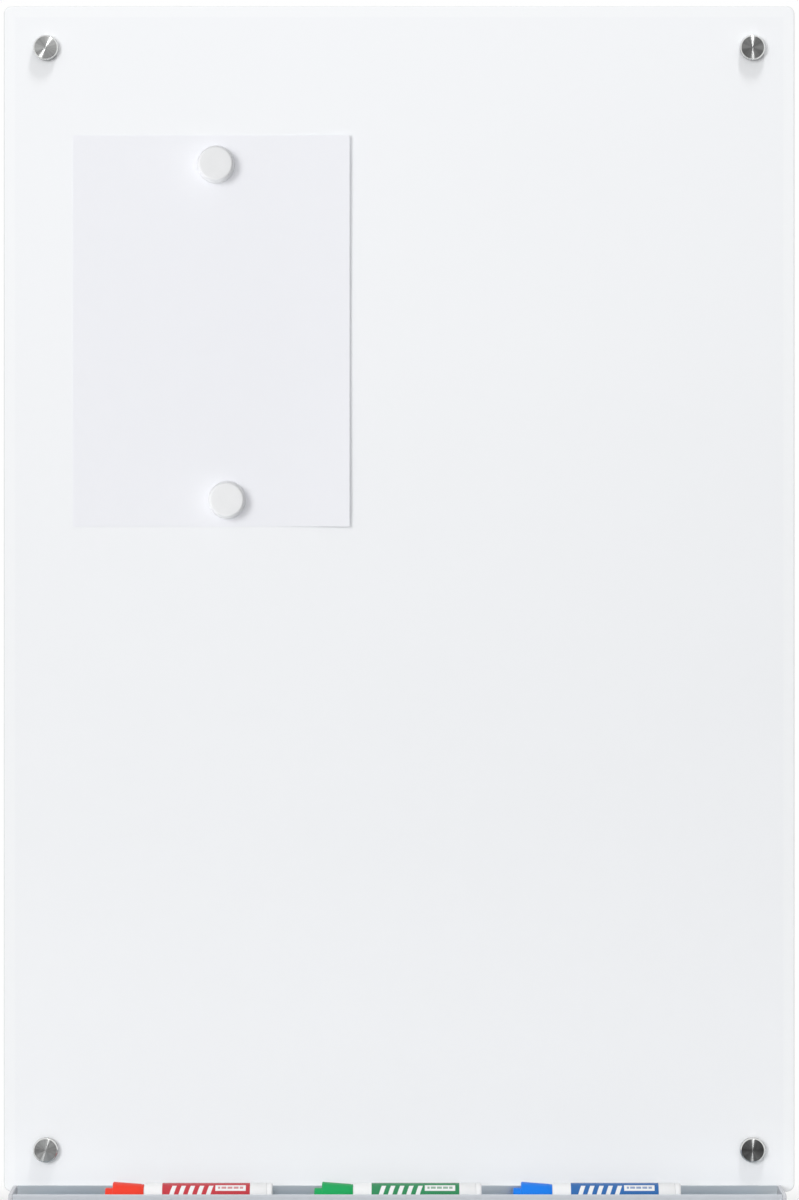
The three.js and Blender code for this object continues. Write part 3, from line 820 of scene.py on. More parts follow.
def drilled_plate(name, node, corner_radius, hole_radius):
    """A plate that fills a node's box, with round corners and the four fixing holes."""
    low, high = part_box(node)
    middle = (low + high) / 2
    thickness = high.y - low.y
    deselect()
    bpy.ops.mesh.primitive_plane_add(
        size=1, location=(middle.x, low.y, middle.z), rotation=UPRIGHT
    )
    bpy.ops.object.transform_apply(location=False)
    bpy.ops.transform.resize(value=(high.x - low.x, 1, high.z - low.z))
    bpy.ops.object.transform_apply()
    piece = named(name)
    editing()
    bpy.ops.mesh.bevel(offset=corner_radius, segments=8, affect="VERTICES", offset_type="OFFSET")
    bpy.ops.mesh.select_all(action="SELECT")
    extrude(thickness * INWARD)
    settle()
    for place in PLACES:
        deselect()
        bpy.ops.mesh.primitive_cylinder_add(
            vertices=64, radius=hole_radius, depth=2 * thickness, rotation=UPRIGHT,
            location=middle_of(f"cap_{place}") + middle.y * INWARD,
        )
        bpy.ops.object.transform_apply()
        cut(piece, bpy.context.object)
    return piece


def glass_face(face):
    """0 for the front, 1 for the polished edges, 2 for the ground arris, 3 for the painted back."""
    if abs(face.normal.y) > 0.95:
        return 0 if face.normal.y < 0 else 3
    return 1 if abs(face.normal.y) < 0.3 else 2


class MakeGlass(bpy.types.Operator):
    """Model the glass sheet with its ground edges and four holes"""

    bl_idname = "whiteboard.make_glass"
    bl_label = "Glass sheet"

    def execute(self, context):
        board = context.scene.whiteboard_board
        piece = drilled_plate("glass_sheet", "glass_panel", board.corner_radius, board.hole_radius)
        soften(piece, board.arris, 1)
        coat(
            piece, white_glass(board), glass_edge(board), ground_arris(board), back_paint(),
            by=glass_face,
        )
        fit(piece, "board", "glass_panel")
        link_to_lamps(piece, strip_lamp_receiver="INCLUDE")
        return {"FINISHED"}


class MakeBacking(bpy.types.Operator):
    """Model the primed steel sheet on the back of the glass"""

    bl_idname = "whiteboard.make_backing"
    bl_label = "Steel backing"

    def execute(self, context):
        board = context.scene.whiteboard_board
        piece = drilled_plate(
            "backing_sheet", "steel_backing", board.backing_corner_radius, board.backing_hole_radius
        )
        soften(piece, 0.0001)
        coat(piece, steel_primer(board))
        fit(piece, "board", "steel_backing")
        return {"FINISHED"}


# Fixings

def cap_piece(fixing, face):
    """The turned cap and its threaded stud. The cap's face is to the front."""
    front, tip = levels("cap_top_left")
    radius = radius_of("cap_top_left")
    back = levels("front_washer_top_left")[0] - GAP
    root, crest = fixing.stud_root, fixing.stud_radius
    chamfer_end = front + fixing.cap_chamfer
    undercut = 0.0001
    undercut_radius = crest + 0.0012
    point_length, point_step = 0.0008, 0.0006
    thread_start, thread_end = back - 0.0006, tip - 0.0003
    hair = 0.00005
    piece = soften(turned("cap", [
        (0, front),
        (radius - fixing.cap_chamfer, front),
        (radius, chamfer_end),
        (radius, back),
        (undercut_radius, back),
        (undercut_radius - 2 * undercut, back + undercut),
        (root, back + undercut),
        (root, tip - point_length),
        (root - point_step, tip),
        (0, tip),
    ], sides=96), STEEL_ROUNDING)
    thread = threaded(
        "cap_thread", root - hair, crest, fixing.stud_pitch, thread_start, thread_end
    )
    side = turned_steel("turned_side", fixing, False, 0.3, 0.6)

    def surface(polygon):
        """0 for the face, 1 for the side and what is behind it, 2 for the chamfer."""
        if polygon.center.y > back - hair:
            return 1
        if polygon.normal.y < -0.97:
            return 0
        return 2 if polygon.center.y < chamfer_end else 1

    coat(piece, face, side, polished_steel(fixing), by=surface)
    return joined(piece, coat(smooth(thread), side))


def ring_piece(fixing, stem, nylon, rounding=0.00018):
    """A washer or a sleeve round the stud."""
    node = f"{stem}_top_left"
    bore, radius = fixing.washer_bore, radius_of(node)
    low, high = levels(node)
    ring = turned_ring(stem, [(bore, low), (radius, low), (radius, high), (bore, high)])
    return coat(soften(ring, rounding), nylon)


def barrel_piece(fixing):
    """The stand-off barrel, with its bore to the front and its seat on the wall."""
    front, seat = levels("barrel_top_left")
    radius = radius_of("barrel_top_left")
    bore = fixing.barrel_bore
    floor = seat - fixing.barrel_floor
    recess = seat - fixing.recess_depth
    edge = 0.0006
    groove_depth = 0.0005
    groove_count = 9
    grooves = []
    for turn in range(groove_count):
        place = front + 2 * edge + turn * fixing.stud_pitch
        grooves += [(bore, place), (bore + groove_depth, place + edge)]
    piece = turned_ring("barrel", [
        (bore + groove_depth, front),
        (radius - edge, front),
        (radius, front + edge),
        (radius, seat - edge),
        (radius - edge, seat),
        (fixing.recess_radius, seat),
        (fixing.recess_radius, recess),
        (fixing.screw_hole, recess),
        (fixing.screw_hole, floor),
        (bore, floor),
        *reversed(grooves),
    ], sides=96)
    soften(piece, STEEL_ROUNDING)
    side = turned_steel("barrel_side", fixing, False, 0.26, 0.7)
    end = turned_steel("barrel_end", fixing, True, 0.34, 0.7)
    return coat(piece, side, end, by=lambda polygon: int(abs(polygon.normal.y) > 0.7))


def screw_piece(fixing):
    """The wall screw: a cross-recessed head on a coarse thread that tapers to its tip."""
    head, tip = levels("wall_screw_top_left")
    back = head + fixing.head_height
    radius = radius_of("wall_screw_top_left")
    root, crest = fixing.screw_root, fixing.screw_radius
    taper = 0.005
    crown = 0.0009
    edge = 0.0003
    hair = 0.0001
    neck_end, root_start = back + 0.002, back + 0.0026
    slot_reach, slot_half, slot_depth = 0.0022, 0.00055, 0.0016
    past = 0.001
    sunk = 0.00008
    thread_start, thread_end = back + 0.0022, tip - 0.0005
    tip_share = 0.22
    piece = turned("screw", [
        (0, head),
        (radius - crown, head),
        (radius, head + crown),
        (radius, back - edge),
        (radius - edge, back),
        (crest, back),
        (crest - hair, neck_end),
        (root, root_start),
        (root, tip - taper),
        (hair, tip - hair),
        (0, tip),
    ], sides=48)
    cut_cross(piece, slot_reach, slot_half, head - past, head + slot_depth)
    soften(piece, STEEL_ROUNDING)
    thread = threaded(
        "screw_thread", root - sunk, crest, fixing.screw_pitch, thread_start, thread_end, steps=24
    )
    last = max(vertex.co.y for vertex in thread.data.vertices) - fixing.screw_pitch
    pick_vertices(thread, lambda place: place.y > last)
    bpy.ops.transform.resize(
        value=(tip_share, 1, tip_share), center_override=(0, last, 0), use_proportional_edit=True,
        proportional_edit_falloff="LINEAR", proportional_size=taper,
    )
    done_editing()
    return coat(joined(piece, smooth(thread)), zinc_plate())


def anchor_piece(fixing):
    """The ribbed plug in the wall, split so that the screw can spread it."""
    start, end = levels("wall_anchor_top_left")
    rib_radius = radius_of("wall_anchor_top_left")
    bore = fixing.screw_hole
    pitch = (end - start) / fixing.anchor_ribs
    past = 0.001
    rib_width, rib_share, slot_share = 0.0006, 0.9, 0.7
    outline = [(bore, start)]
    for rib in range(fixing.anchor_ribs):
        place = start + rib * pitch
        outline += [(rib_radius, place), (rib_radius, place + rib_width)]
        outline += [(fixing.anchor_radius, place + rib_share * pitch)]
    piece = turned_ring("anchor", [*outline, (bore, end)], sides=40)
    slot_start = end - slot_share * (end - start)
    cut_cross(piece, rib_radius + past, fixing.anchor_slot / 2, slot_start, end + past)
    soften(piece, 0.0001, 1)
    return coat(piece, moulded("anchor_nylon", fixing.anchor_colour, 0.5, 0.0006, 0.00002, 0.06))


class MakeFixings(bpy.types.Operator):
    """Model one stand-off fixing and copy it to the four corners"""

    bl_idname = "whiteboard.make_fixings"
    bl_label = "Fixings"

    def execute(self, context):
        fixing = context.scene.whiteboard_fixing
        nylon = moulded(
            "milky_nylon", fixing.nylon_colour, 0.42, 0.0007, 0.00001,
            Subsurface_Weight=0.25, Subsurface_Scale=0.001,
        )
        # Each cap gets its own face material with painted shade: the same steel scaled lighter or
        # darker.
        painted_shade_faces = {
            place: turned_steel(f"turned_face_{place}", fixing, True, 0.38, 1.0, painted_shade_factor)
            for place, painted_shade_factor in zip(PLACES, fixing.cap_shades)
        }
        cap = cap_piece(fixing, painted_shade_faces["top_left"])
        front_washer = ring_piece(fixing, "front_washer", nylon)
        sleeve = ring_piece(fixing, "sleeve", nylon, 0.0001)
        rear_washer = ring_piece(fixing, "rear_washer", nylon)
        for stem, name, pattern, slot, body in (
            ("cap", "turned_cap", cap, "turned_steel", "cap_body"),
            ("front_washer", "cap_ring", front_washer, "clear_nylon", "washer_body"),
            ("sleeve", "hole_sleeve", sleeve, "clear_nylon", None),
            ("rear_washer", "barrel_ring", rear_washer, "clear_nylon", None),
            ("barrel", "turned_barrel", barrel_piece(fixing), "turned_steel", None),
            ("wall_screw", "zinc_screw", screw_piece(fixing), "zinc_steel", None),
            ("wall_anchor", "ribbed_anchor", anchor_piece(fixing), "anchor_nylon", None),
        ):
            keep_place(pattern)
            for place in PLACES:
                node = f"{stem}_{place}"
                copy = copy_of(pattern, f"{name}_{place}", middle_of(node))
                fit(copy, f"{body}_{place}" if body else "board", node)
                if stem == "cap":
                    copy.data.materials[0] = painted_shade_faces[place]
                    glint = "low_glint" if place == "bottom_right" else "glint"
                    link_to_lamps(copy, **{f"{glint}_lamp_receiver": "INCLUDE"})
            bpy.data.objects.remove(pattern)
        return {"FINISHED"}


# Tray, whose outlines are drawn from the side: distances before the glass and heights over its edge

def tray_lines(tray):
    """The lines that the tray's outlines share."""
    low, high = levels("glass_panel")
    back_inner = low - high - tray.grip_space
    floor_top = -tray.trough_drop
    return SimpleNamespace(
        back_outer=back_inner - tray.wall,
        back_inner=back_inner,
        front_inner=tray.grip_space,
        front_outer=tray.grip_space + tray.wall,
        back_top=tray.back_leg_height - tray.grip_space - tray.wall,
        web_top=-tray.grip_space,
        web_bottom=-tray.grip_space - tray.wall,
        floor_top=floor_top,
        floor_bottom=floor_top - tray.wall,
        lip_top=tray.lip_height - tray.trough_drop,
    )


def legs(tray, line):
    """The inside of the legs, from the front one's top to the back one's."""
    return [
        (line.front_outer, tray.flange_height),
        (line.front_inner, tray.flange_height),
        (line.front_inner, line.web_top),
        (line.back_inner, line.web_top),
        (line.back_inner, line.back_top),
    ]


def tray_section(tray, line):
    """The outline of the extrusion, with the rounded trough."""
    lip_inner = tray.depth - tray.wall
    front_radius, back_radius = tray.trough_front_radius, tray.trough_back_radius
    front = (lip_inner - front_radius, line.floor_top + front_radius)
    back = (line.front_outer + back_radius, line.floor_top + back_radius)
    return [
        (line.back_outer, line.back_top),
        (line.back_outer, line.floor_bottom),
        *arc(front, front_radius + tray.wall, -90, 0, 10),
        (tray.depth, line.lip_top),
        (lip_inner, line.lip_top),
        *arc(front, front_radius, 0, -90, 10),
        *arc(back, back_radius, -90, -180, 14),
        *legs(tray, line),
    ]


def end_cap_section(tray, line):
    """The outer outline of the tray, with a round front corner."""
    corner = (tray.depth - tray.cap_corner, line.lip_top - tray.cap_corner)
    bottom_radius = tray.trough_front_radius + tray.wall
    bottom = (tray.depth - bottom_radius, line.floor_bottom + bottom_radius)
    return [
        (line.back_outer, line.back_top),
        (line.back_outer, line.floor_bottom),
        *arc(bottom, bottom_radius, -90, 0, 12),
        *arc(corner, tray.cap_corner, 0, 90, 10),
        *legs(tray, line),
    ]


def grip_section(tray, line):
    """The outline of the grip strip, with a small fin on each leg that presses on the glass."""
    thick = tray.grip_thickness
    back, front = line.back_inner + GAP, line.front_inner - GAP
    bottom = line.web_top + GAP
    fin = 0.0008
    back_top = line.back_top - tray.wall - fin / 2
    front_top = tray.flange_height - fin / 2
    return [
        (back, bottom),
        (front, bottom),
        (front, front_top),
        (front - 0.6 * thick, front_top),
        (front - thick, front_top - fin),
        (front - 0.75 * thick, front_top - 2 * fin),
        (front - thick, bottom + thick),
        (back + thick, bottom + thick),
        (back + 0.75 * thick, back_top - 2 * fin),
        (back + thick, back_top - fin),
        (back + 0.6 * thick, back_top),
        (back, back_top),
    ]


def tray_piece(name, outlines, start, end, rounding, segments=2):
    """Extrudes outlines of the tray between two levels of X, and rounds the edges."""
    edge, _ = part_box("glass_panel")
    placed = [
        [Vector((start, edge.y - ahead, edge.z + height)) for ahead, height in outline]
        for outline in outlines
    ]
    return soften(extruded(name, placed, (end - start) * ACROSS), rounding, segments)


class MakeTray(bpy.types.Operator):
    """Model the extruded tray, its end caps and its grip strip"""

    bl_idname = "whiteboard.make_tray"
    bl_label = "Pen tray"

    def execute(self, context):
        tray = context.scene.whiteboard_tray
        line = tray_lines(tray)
        edge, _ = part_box("glass_panel")
        low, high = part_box("tray_extrusion")
        chamber = [
            (line.back_inner, line.floor_top),
            (line.front_inner, line.floor_top),
            (line.front_inner, line.web_bottom),
            (line.back_inner, line.web_bottom),
        ]
        bar = tray_piece("tray_bar", [tray_section(tray, line), chamber], low.x, high.x, 0.0005, 3)
        strip = tray_piece("grip_channel", [grip_section(tray, line)], low.x, high.x, 0.0001)
        rubber = moulded("grip_rubber", tray.grip_colour, 0.75, 0.0004, 0.00002)
        plastic = moulded("end_cap_plastic", tray.end_cap_colour, 0.42, 0.0003, 0.000015)
        parts = [
            (bar, anodised(tray), "anodised_aluminium", "tray_extrusion"),
            (strip, rubber, "grip_rubber", "tray_grip_strip"),
        ]
        for side in ("left", "right"):
            node = f"tray_end_cap_{side}"
            low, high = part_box(node)
            start, end = low.x, low.x + tray.cap_thickness
            plug_start, plug_end = end - GAP, high.x
            if side == "right":
                start, end = high.x - tray.cap_thickness, high.x
                plug_start, plug_end = low.x, start + GAP
            section = end_cap_section(tray, line)
            plate = tray_piece(f"end_plate_{side}", [section], start, end, 0.0004, 3)
            plug = block(
                (plug_start, edge.y - line.front_inner + GAP, edge.z + line.floor_top + GAP),
                (plug_end, edge.y - line.back_inner - GAP, edge.z + line.web_bottom - GAP),
            )
            joined(plate, soften(plug, 0.0003))
            plate.visible_glossy = False
            parts.append((plate, plastic, "grey_plastic", node))
        for piece, finish, slot, node in parts:
            keep_place(piece)
            coat(piece, finish)
            fit(piece, "tray", node)
        return {"FINISHED"}


# Pens, modelled with their axis along X and the closed end of the cap at the origin

def cap_cover(pen):
    """The cap: a narrow end, then a flare that tapers to the mouth."""
    rim = 0.0016
    edge = 0.0006
    flare_edge = 0.0007
    cavity = pen.nub_length + 0.0012
    piece = turned("pen_cap", [
        (0, edge),
        (pen.nub_radius - rim - edge, edge),
        (pen.nub_radius - rim, 0),
        (pen.nub_radius - edge, 0),
        (pen.nub_radius, edge),
        (pen.nub_radius, pen.nub_length),
        (pen.flare_radius - flare_edge, pen.nub_length),
        (pen.flare_radius, pen.nub_length + flare_edge),
        (pen.mouth_radius + 0.00025, pen.cap_length - 0.0018),
        (pen.mouth_radius, pen.cap_length - 0.0016),
        (pen.mouth_radius, pen.cap_length),
        (pen.socket_radius, pen.cap_length),
        (pen.socket_radius, cavity),
        (0, cavity),
    ], ACROSS, 80)
    return soften(piece, 0.00025, 3)


def body_tube(pen, end):
    """The body, with its label a hair proud of the plastic."""
    start = pen.cap_length + GAP
    shoulder_end = start + 0.0015
    bore = pen.radius - pen.wall
    hole = 0.0055
    skin = pen.radius - PRINT_HEIGHT
    piece = turned_ring("pen_tube", [
        (hole, start),
        (skin - 0.0008, start),
        (skin, start + 0.0009),
        (skin, pen.label_start - PRINT_HEIGHT),
        (pen.radius, pen.label_start),
        (pen.radius, pen.label_end),
        (skin, pen.label_end + PRINT_HEIGHT),
        (skin, end),
        (bore, end),
        (bore, shoulder_end),
        (hole, shoulder_end),
    ], ACROSS, 80)
    return soften(piece, 0.00015)


def nose_cone(pen):
    """The nose inside the cap, with its sealing bead and the spigot in the body."""
    hole = pen.nib_radius + GAP
    spigot = 0.0052
    spigot_end = pen.cap_length + 0.008
    bead = pen.cap_length - 0.004
    bead_height = 0.0002
    half_bead = 0.0006
    collar = pen.nose_radius - bead_height
    piece = turned_ring("pen_nose", [
        (hole, pen.nose_start),
        (0.0031, pen.nose_start),
        (collar - bead_height, pen.nose_start + 0.006),
        (collar, bead - half_bead),
        (pen.nose_radius, bead),
        (collar, bead + half_bead),
        (collar, pen.cap_length),
        (spigot, pen.cap_length),
        (spigot, spigot_end),
        (hole, spigot_end),
    ], ACROSS, 56)
    return soften(piece, 0.0002)


def chisel_nib(pen):
    """A felt rod cut to a chisel at its tip."""
    tip = pen.nose_start - 0.0035
    end = pen.cap_length + 0.011
    half_tip = 0.0006
    outline = [(0, tip), (pen.nib_radius, tip), (pen.nib_radius, end), (0, end)]
    piece = turned("pen_nib", outline, ACROSS, 40)
    for height, slope in ((-half_tip, 0.75), (half_tip, -1.5)):
        editing()
        bpy.ops.mesh.bisect(
            plane_co=(tip, 0, height), plane_no=(-1, 0, slope), use_fill=True, clear_outer=True
        )
        settle()
    return soften(piece, 0.0002)


def ink_rod(pen, start, end):
    """The fibre reservoir in its thin wrap."""
    edge = 0.0002
    radius = pen.rod_radius
    inner = radius - edge
    outline = [(0, start), (inner, start), (radius, start + edge), (radius, end - edge), (inner, end)]
    return smooth(turned("ink_rod", [*outline, (0, end)], ACROSS, 40))


def tail_plug(pen, start, end):
    """The plug in the open end of the body, with a shallow dish in its face."""
    flange = end - pen.plug_length
    spigot = pen.radius - pen.wall - GAP
    skin = pen.radius - PRINT_HEIGHT
    edge = 0.0004
    rounding = 0.0014
    piece = turned("tail_plug", [
        (0, start),
        (spigot - edge, start),
        (spigot, start + edge),
        (spigot, flange),
        (skin, flange),
        *swapped(arc((end - rounding, skin - rounding), rounding, 90, 0, 6)),
        (0.0042, end),
        (0.0038, end - edge),
        (0, end - edge),
    ], ACROSS, 80)
    return soften(piece, 0.0001)


class MakePens(bpy.types.Operator):
    """Model one pen and copy it for the three colours"""

    bl_idname = "whiteboard.make_pens"
    bl_label = "Pens"

    def execute(self, context):
        pen = context.scene.whiteboard_pen
        origin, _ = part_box("pen_red_cap")
        tube, rod, plug = (
            [corner.x - origin.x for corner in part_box(f"pen_red_{stem}")]
            for stem in ("barrel", "reservoir", "tail_plug")
        )
        patterns = (
            ("cap", "cover", cap_cover(pen)),
            ("barrel", "tube", body_tube(pen, tube[1])),
            ("nose", "cone", nose_cone(pen)),
            ("nib", "chisel", chisel_nib(pen)),
            ("reservoir", "ink_rod", ink_rod(pen, *rod)),
            ("tail_plug", "end_plug", tail_plug(pen, *plug)),
        )
        for _, _, pattern in patterns:
            keep_place(pattern)
        white = moulded("pen_white", pen.white, 0.3, Coat_Weight=0.12, Coat_Roughness=0.2)
        for ink_name in PEN_COLOURS:
            ink = getattr(pen, ink_name)
            plastic = moulded(
                f"cap_plastic_{ink_name}", ink, 0.38, 0.0006, cloud=0.05,
                Specular_IOR_Level=0.3, Coat_Weight=0.05, Coat_Roughness=0.2,
            )
            inked = felt(f"inked_felt_{ink_name}", [0.55 * part + 0.01 for part in ink])
            looks = {
                "cap": (plastic, f"pen_{ink_name}"),
                "barrel": (pen_body(pen, ink_name), "pen_white"),
                "nib": (inked, f"felt_{ink_name}"),
                "reservoir": (inked, f"felt_{ink_name}"),
            }
            low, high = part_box(f"pen_{ink_name}_cap")
            offset = Vector((low.x, (low.y + high.y) / 2, (low.z + high.z) / 2))
            for stem, name, pattern in patterns:
                finish, slot = looks.get(stem, (white, "pen_white"))
                piece = coat(copy_of(pattern, f"{name}_{ink_name}", offset), finish)
                body = f"{ink_name}_pen_cap" if stem == "cap" else f"{ink_name}_pen"
                fit(piece, body, f"pen_{ink_name}_{stem}")
                link_to_lamps(piece, fill_lamp_receiver="INCLUDE", **OUT_OF_KEY)
                piece.visible_diffuse = False
        for _, _, pattern in patterns:
            bpy.data.objects.remove(pattern)
        return {"FINISHED"}


# Paper and magnets

class MakeSheet(bpy.types.Operator):
    """Model the sheet of paper, whose right side curls off the glass"""

    bl_idname = "whiteboard.make_sheet"
    bl_label = "Sheet of paper"

    def execute(self, context):
        sheet = context.scene.whiteboard_sheet
        low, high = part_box("note_sheet")
        back = high.y
        flat = sheet.flat_share * (high.x - low.x)
        curled = high.x - low.x - flat
        clearance = 0.0001
        curl_power = 2.1
        flat_steps, curled_steps, rows = 4, 16, 24
        lift = back - low.y - sheet.thickness - clearance
        columns = [flat * step / flat_steps for step in range(flat_steps + 1)]
        columns += [flat + curled * step / curled_steps for step in range(1, curled_steps + 1)]
        chain = []
        for along in columns:
            bent = max(0.0, along - flat) / curled
            chain.append(Vector((low.x + along, back - lift * bent ** curl_power, low.z)))
        piece = begin("paper_sheet_a4", chain)
        bpy.ops.mesh.select_all(action="SELECT")
        eases = [0.9 + 0.1 * math.cos(FULL_TURN * row / rows) for row in range(rows + 1)]
        for row in range(1, rows + 1):
            extrude((high.z - low.z) / rows * UPWARD)
            bpy.ops.transform.resize(
                value=(1, eases[row] / eases[row - 1], 1), center_override=(0, back, 0)
            )
            level = low.z + row / rows * (high.z - low.z)
            pick_vertices(piece, lambda place: abs(place.z - level) < 0.00001)
        settle()
        apply_modifier(piece, "SOLIDIFY", thickness=sheet.thickness, offset=0)
        if min(vertex.co.y for vertex in piece.data.vertices) < low.y - 2 * clearance:
            raise RuntimeError("the sheet of paper stands too far off the glass")
        coat(smooth(piece), office_paper(sheet))
        fit(piece, "paper_sheet", "note_sheet")
        link_to_lamps(piece, key_lamp_blocker="EXCLUDE")
        return {"FINISHED"}


class MakeMagnets(bpy.types.Operator):
    """Model a magnet shell with its disc and copy them for both magnets"""

    bl_idname = "whiteboard.make_magnets"
    bl_label = "Magnets"

    def execute(self, context):
        sheet = context.scene.whiteboard_sheet
        front, rim = levels("magnet_shell_upper")
        base = radius_of("magnet_shell_upper")
        pocket = sheet.disc_radius + GAP
        pocket_floor = rim - sheet.pocket_depth
        rounding = sheet.face_rounding
        corner = (front + rounding, sheet.face_radius - rounding)
        dish_radius, dish_depth, dish_edge = 0.006, 0.00015, 0.0001
        rim_height = 0.0006
        shell = soften(turned("magnet_cover", [
            (0, front + dish_depth),
            (dish_radius, front + dish_edge),
            *swapped(arc(corner, rounding, 180, 90, 7)),
            (base, rim - rim_height),
            (base, rim),
            (pocket, rim),
            (pocket, pocket_floor),
            (0, pocket_floor),
        ], sides=96), 0.0001)
        start, end = levels("magnet_disc_upper")
        radius = sheet.disc_radius
        edge = 0.0004
        disc = smooth(turned("magnet_plate", [
            (0, start),
            (radius - edge, start),
            (radius, start + edge),
            (radius, end - edge),
            (radius - edge, end),
            (0, end),
        ]))
        satin = moulded("magnet_plastic", sheet.magnet_colour, 0.45, 0.0004, 0.00001)
        ferrite = moulded("ferrite", (0.045, 0.045, 0.05), 0.6, 0.0003, 0.00003, 0.2)
        for pattern, name, stem, slot, finish in (
            (shell, "magnet_cover", "magnet_shell", "magnet_white", satin),
            (disc, "magnet_plate", "magnet_disc", "ferrite", ferrite),
        ):
            keep_place(pattern)
            coat(pattern, finish)
            for place in ("upper", "lower"):
                node = f"{stem}_{place}"
                copy = copy_of(pattern, f"{name}_{place}", middle_of(node))
                fit(copy, f"{place}_magnet", node)
                link_to_lamps(copy, low_lamp_receiver="INCLUDE", **OUT_OF_KEY)
            bpy.data.objects.remove(pattern)
        return {"FINISHED"}


# Stage

def lamp(name, place, target, power, size, groups, mirrored):
    """An area lamp that faces a point. It lights matt surfaces, or is only mirrored by glossy ones."""
    data = bpy.data.lights.new(name, "AREA")
    data.energy = power
    data.shape = "RECTANGLE"
    data.size, data.size_y = size
    lit = bpy.data.objects.new(name, data)
    bpy.context.scene.collection.objects.link(lit)
    lit.location = place
    lit.rotation_euler = (Vector(target) - Vector(place)).to_track_quat("-Z", "Y").to_euler()
    lit.visible_camera = False
    lit.visible_diffuse = not mirrored
    lit.visible_glossy = mirrored
    for group in groups:
        collection = bpy.data.collections.new(f"{name}_{group}")
        setattr(lit.light_linking, f"{group}_collection", collection)


def ray(tree, kind):
    """1 for rays of a kind, and 0 for all others."""
    return Signal(add_node(tree, "LightPath"), f"Is {kind} Ray")


def seen_directly(tree):
    """1 for what the camera shows, also through clear things, and 0 for the light that surfaces get."""
    return ray(tree, "Camera").calc("MAXIMUM", ray(tree, "Transmission"))


def floor_finish(half_width):
    """Pale matt floor that keeps the object's shadow and fades into the white background.

    It sends little light back up to the board.
    """
    finish = Finish("pale_floor")
    place = finish.place()
    cloud = place.grain(0.2, 4)
    pale = cloud.blend((0.86, 0.865, 0.87), (0.89, 0.893, 0.896))
    base = ray(finish.tree, "Diffuse").blend(pale, (0.72, 0.72, 0.72))
    material = finish.done(base, cloud.usual(0.7, 0.9))
    x, y, _ = place.split()
    beside = (abs(x) - half_width).calc("MAXIMUM", 0)
    away = (beside * beside + y * y).calc("SQRT").spread(0.15, 0.4)
    white = add_node(finish.tree, "Emission", {"Color": (1, 1, 1, 1), "Strength": 1})
    shares = {0: away * seen_directly(finish.tree), 1: Signal(finish.shader), 2: Signal(white)}
    mixed = add_node(finish.tree, "MixShader", shares)
    surface = finish.tree.nodes["Material Output"].inputs["Surface"]
    finish.tree.links.new(mixed.outputs[0], surface)
    return material


def even_light(stage):
    """A white world. Its light leans to the upper left, and its front is dim where metal shows it."""
    world = bpy.data.worlds.new("even_light")
    bpy.context.scene.world = world
    world.use_nodes = True
    tree = world.node_tree
    x, y, z = Signal(add_node(tree, "TexCoord"), "Generated").split()
    lean = x * -stage.side_lean + 1 + z * stage.top_lean + y * -stage.front_lean
    soft = lean.calc("MAXIMUM", 0) * stage.ambient
    front = y.spread(-0.5, -0.2, 1, 0) * z.spread(0.35, 0.55, 1, 0)
    level = z.spread(-0.06, 0.06, stage.front_low, stage.front_high)
    strength = ray(tree, "Glossy").choose(soft, front.choose(1, level))
    strength = seen_directly(tree).choose(strength, 1)
    background = tree.nodes["Background"]
    background.inputs["Color"].default_value = (1, 1, 1, 1)
    tree.links.new(strength.socket, background.inputs["Strength"])


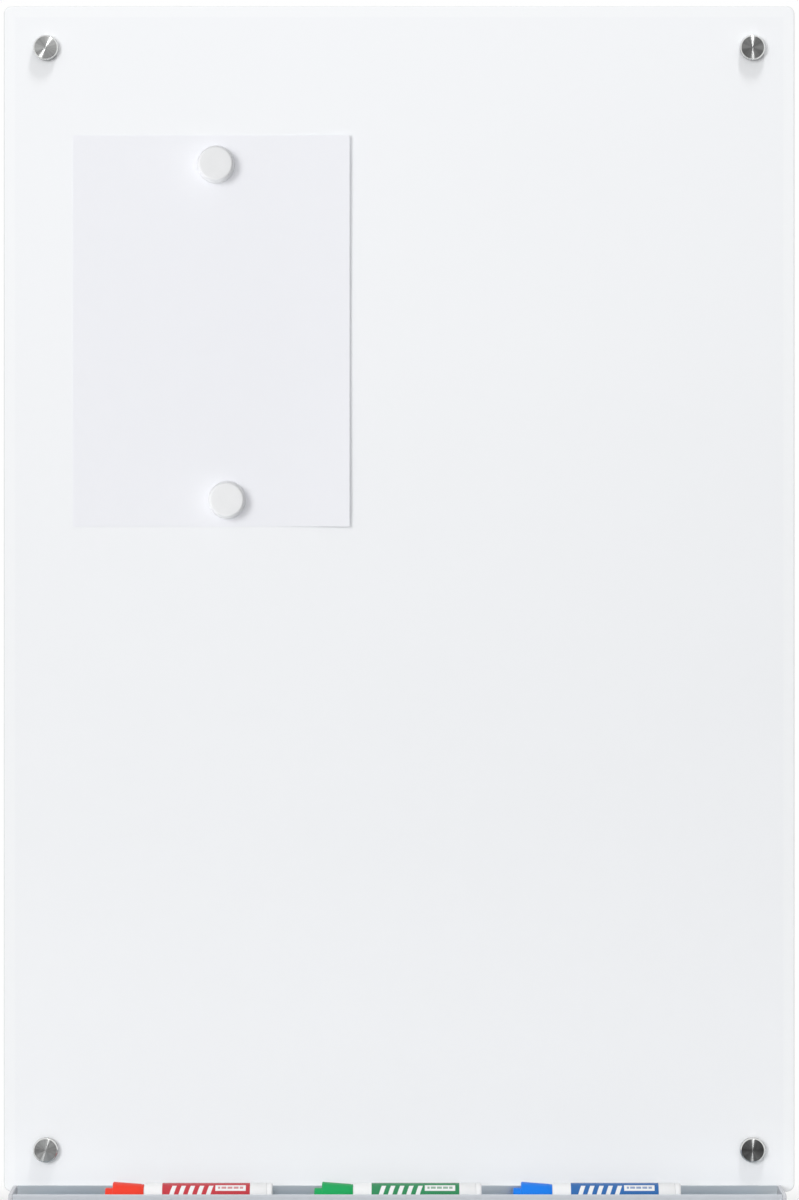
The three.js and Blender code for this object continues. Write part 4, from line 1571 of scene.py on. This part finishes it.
class MakeStage(bpy.types.Operator):
    """Set up the floor, the light and the camera"""

    bl_idname = "whiteboard.make_stage"
    bl_label = "Stage"

    def execute(self, context):
        stage = context.scene.whiteboard_stage
        scene = context.scene
        glass_low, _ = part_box("glass_panel")
        tray_low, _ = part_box("tray_extrusion")

        deselect()
        bpy.ops.mesh.primitive_plane_add(size=1, location=(0, 0, tray_low.z - stage.floor_drop))
        floor = bpy.context.object
        floor.name = "floor"
        bpy.ops.transform.resize(value=(stage.floor_width, stage.floor_depth, 1))
        bpy.ops.object.transform_apply()
        coat(floor, floor_finish(-glass_low.x))

        strip_height = glass_low.z + 0.014
        strip_place = (0, glass_low.y - 0.03, strip_height)
        strip_target = (0, glass_low.y, strip_height)
        for name, place, target, size, groups in (
            ("key", (0.45, -0.85, 2.9), (0, 0, 0.1), (0.3, 0.5), LIT_AND_SHADED),
            ("glint", (0.42, -1.3, 2.3), (0, 0, 0), (0.08, 0.2), LIT),
            ("low_glint", (0.52, -1.6, 1.0), (0.27, 0, -0.42), (0.08, 0.2), LIT),
            ("low", (-1.4, -1.0, -1.1), (-0.14, 0, 0.2), (0.4, 0.4), LIT),
            ("fill", (-0.4, -4, 0.5), (0, 0, 0), (1, 1), LIT),
            ("strip", strip_place, strip_target, (0.6, 0.012), LIT_AND_SHADED),
            ("window", (-2.6, -4.6, 1), (0, 0, 0), (1.8, 2.4), ()),
            ("back", (0.9, 2.6, 1.4), (0, 0, 0), (1.2, 1.2), ()),
        ):
            power = getattr(stage, f"{name}_power")
            lamp(f"{name}_lamp", place, target, power, size, groups, name in MIRRORED)
        link_to_lamps(floor, strip_lamp_blocker="INCLUDE")
        even_light(stage)

        camera_data = bpy.data.cameras.new("camera")
        camera = bpy.data.objects.new("camera", camera_data)
        scene.collection.objects.link(camera)
        camera.location = (
            stage.camera_aside, glass_low.y - stage.camera_distance, -stage.camera_drop
        )
        camera.rotation_euler = UPRIGHT
        camera_data.lens = stage.camera_lens
        camera_data.sensor_width = 36
        scene.camera = camera
        scene.view_settings.view_transform = "Standard"
        return {"FINISHED"}


class WhiteboardPanel(bpy.types.Panel):
    """Lists the pieces to make and the sizes and colours to change"""

    bl_idname = "VIEW3D_PT_whiteboard"
    bl_label = "Glass whiteboard"
    bl_space_type = "VIEW_3D"
    bl_region_type = "UI"
    bl_category = "Whiteboard"

    def draw(self, context):
        for operator in OPERATORS:
            self.layout.operator(operator.bl_idname)
        for name, settings in SETTINGS.items():
            box = self.layout.box()
            box.label(text=name.title())
            for field in settings.__annotations__:
                box.prop(getattr(context.scene, f"whiteboard_{name}"), field)


SETTINGS = {
    "board": BoardSettings,
    "fixing": FixingSettings,
    "tray": TraySettings,
    "pen": PenSettings,
    "sheet": SheetSettings,
    "stage": StageSettings,
}
OPERATORS = (
    MakeStage, MakeGlass, MakeBacking, MakeFixings, MakeTray, MakePens, MakeSheet, MakeMagnets
)


def register():
    for name, settings in SETTINGS.items():
        bpy.utils.register_class(settings)
        setattr(bpy.types.Scene, f"whiteboard_{name}", bpy.props.PointerProperty(type=settings))
    for operator in OPERATORS:
        bpy.utils.register_class(operator)
    bpy.utils.register_class(WhiteboardPanel)


def unregister():
    bpy.utils.unregister_class(WhiteboardPanel)
    for operator in reversed(OPERATORS):
        bpy.utils.unregister_class(operator)
    for name, settings in reversed(SETTINGS.items()):
        delattr(bpy.types.Scene, f"whiteboard_{name}")
        bpy.utils.unregister_class(settings)


def main():
    register()
    bpy.ops.whiteboard.make_stage()
    bpy.ops.whiteboard.make_glass()
    bpy.ops.whiteboard.make_backing()
    bpy.ops.whiteboard.make_fixings()
    bpy.ops.whiteboard.make_tray()
    bpy.ops.whiteboard.make_pens()
    bpy.ops.whiteboard.make_sheet()
    bpy.ops.whiteboard.make_magnets()


if __name__ == "__main__":
    main()
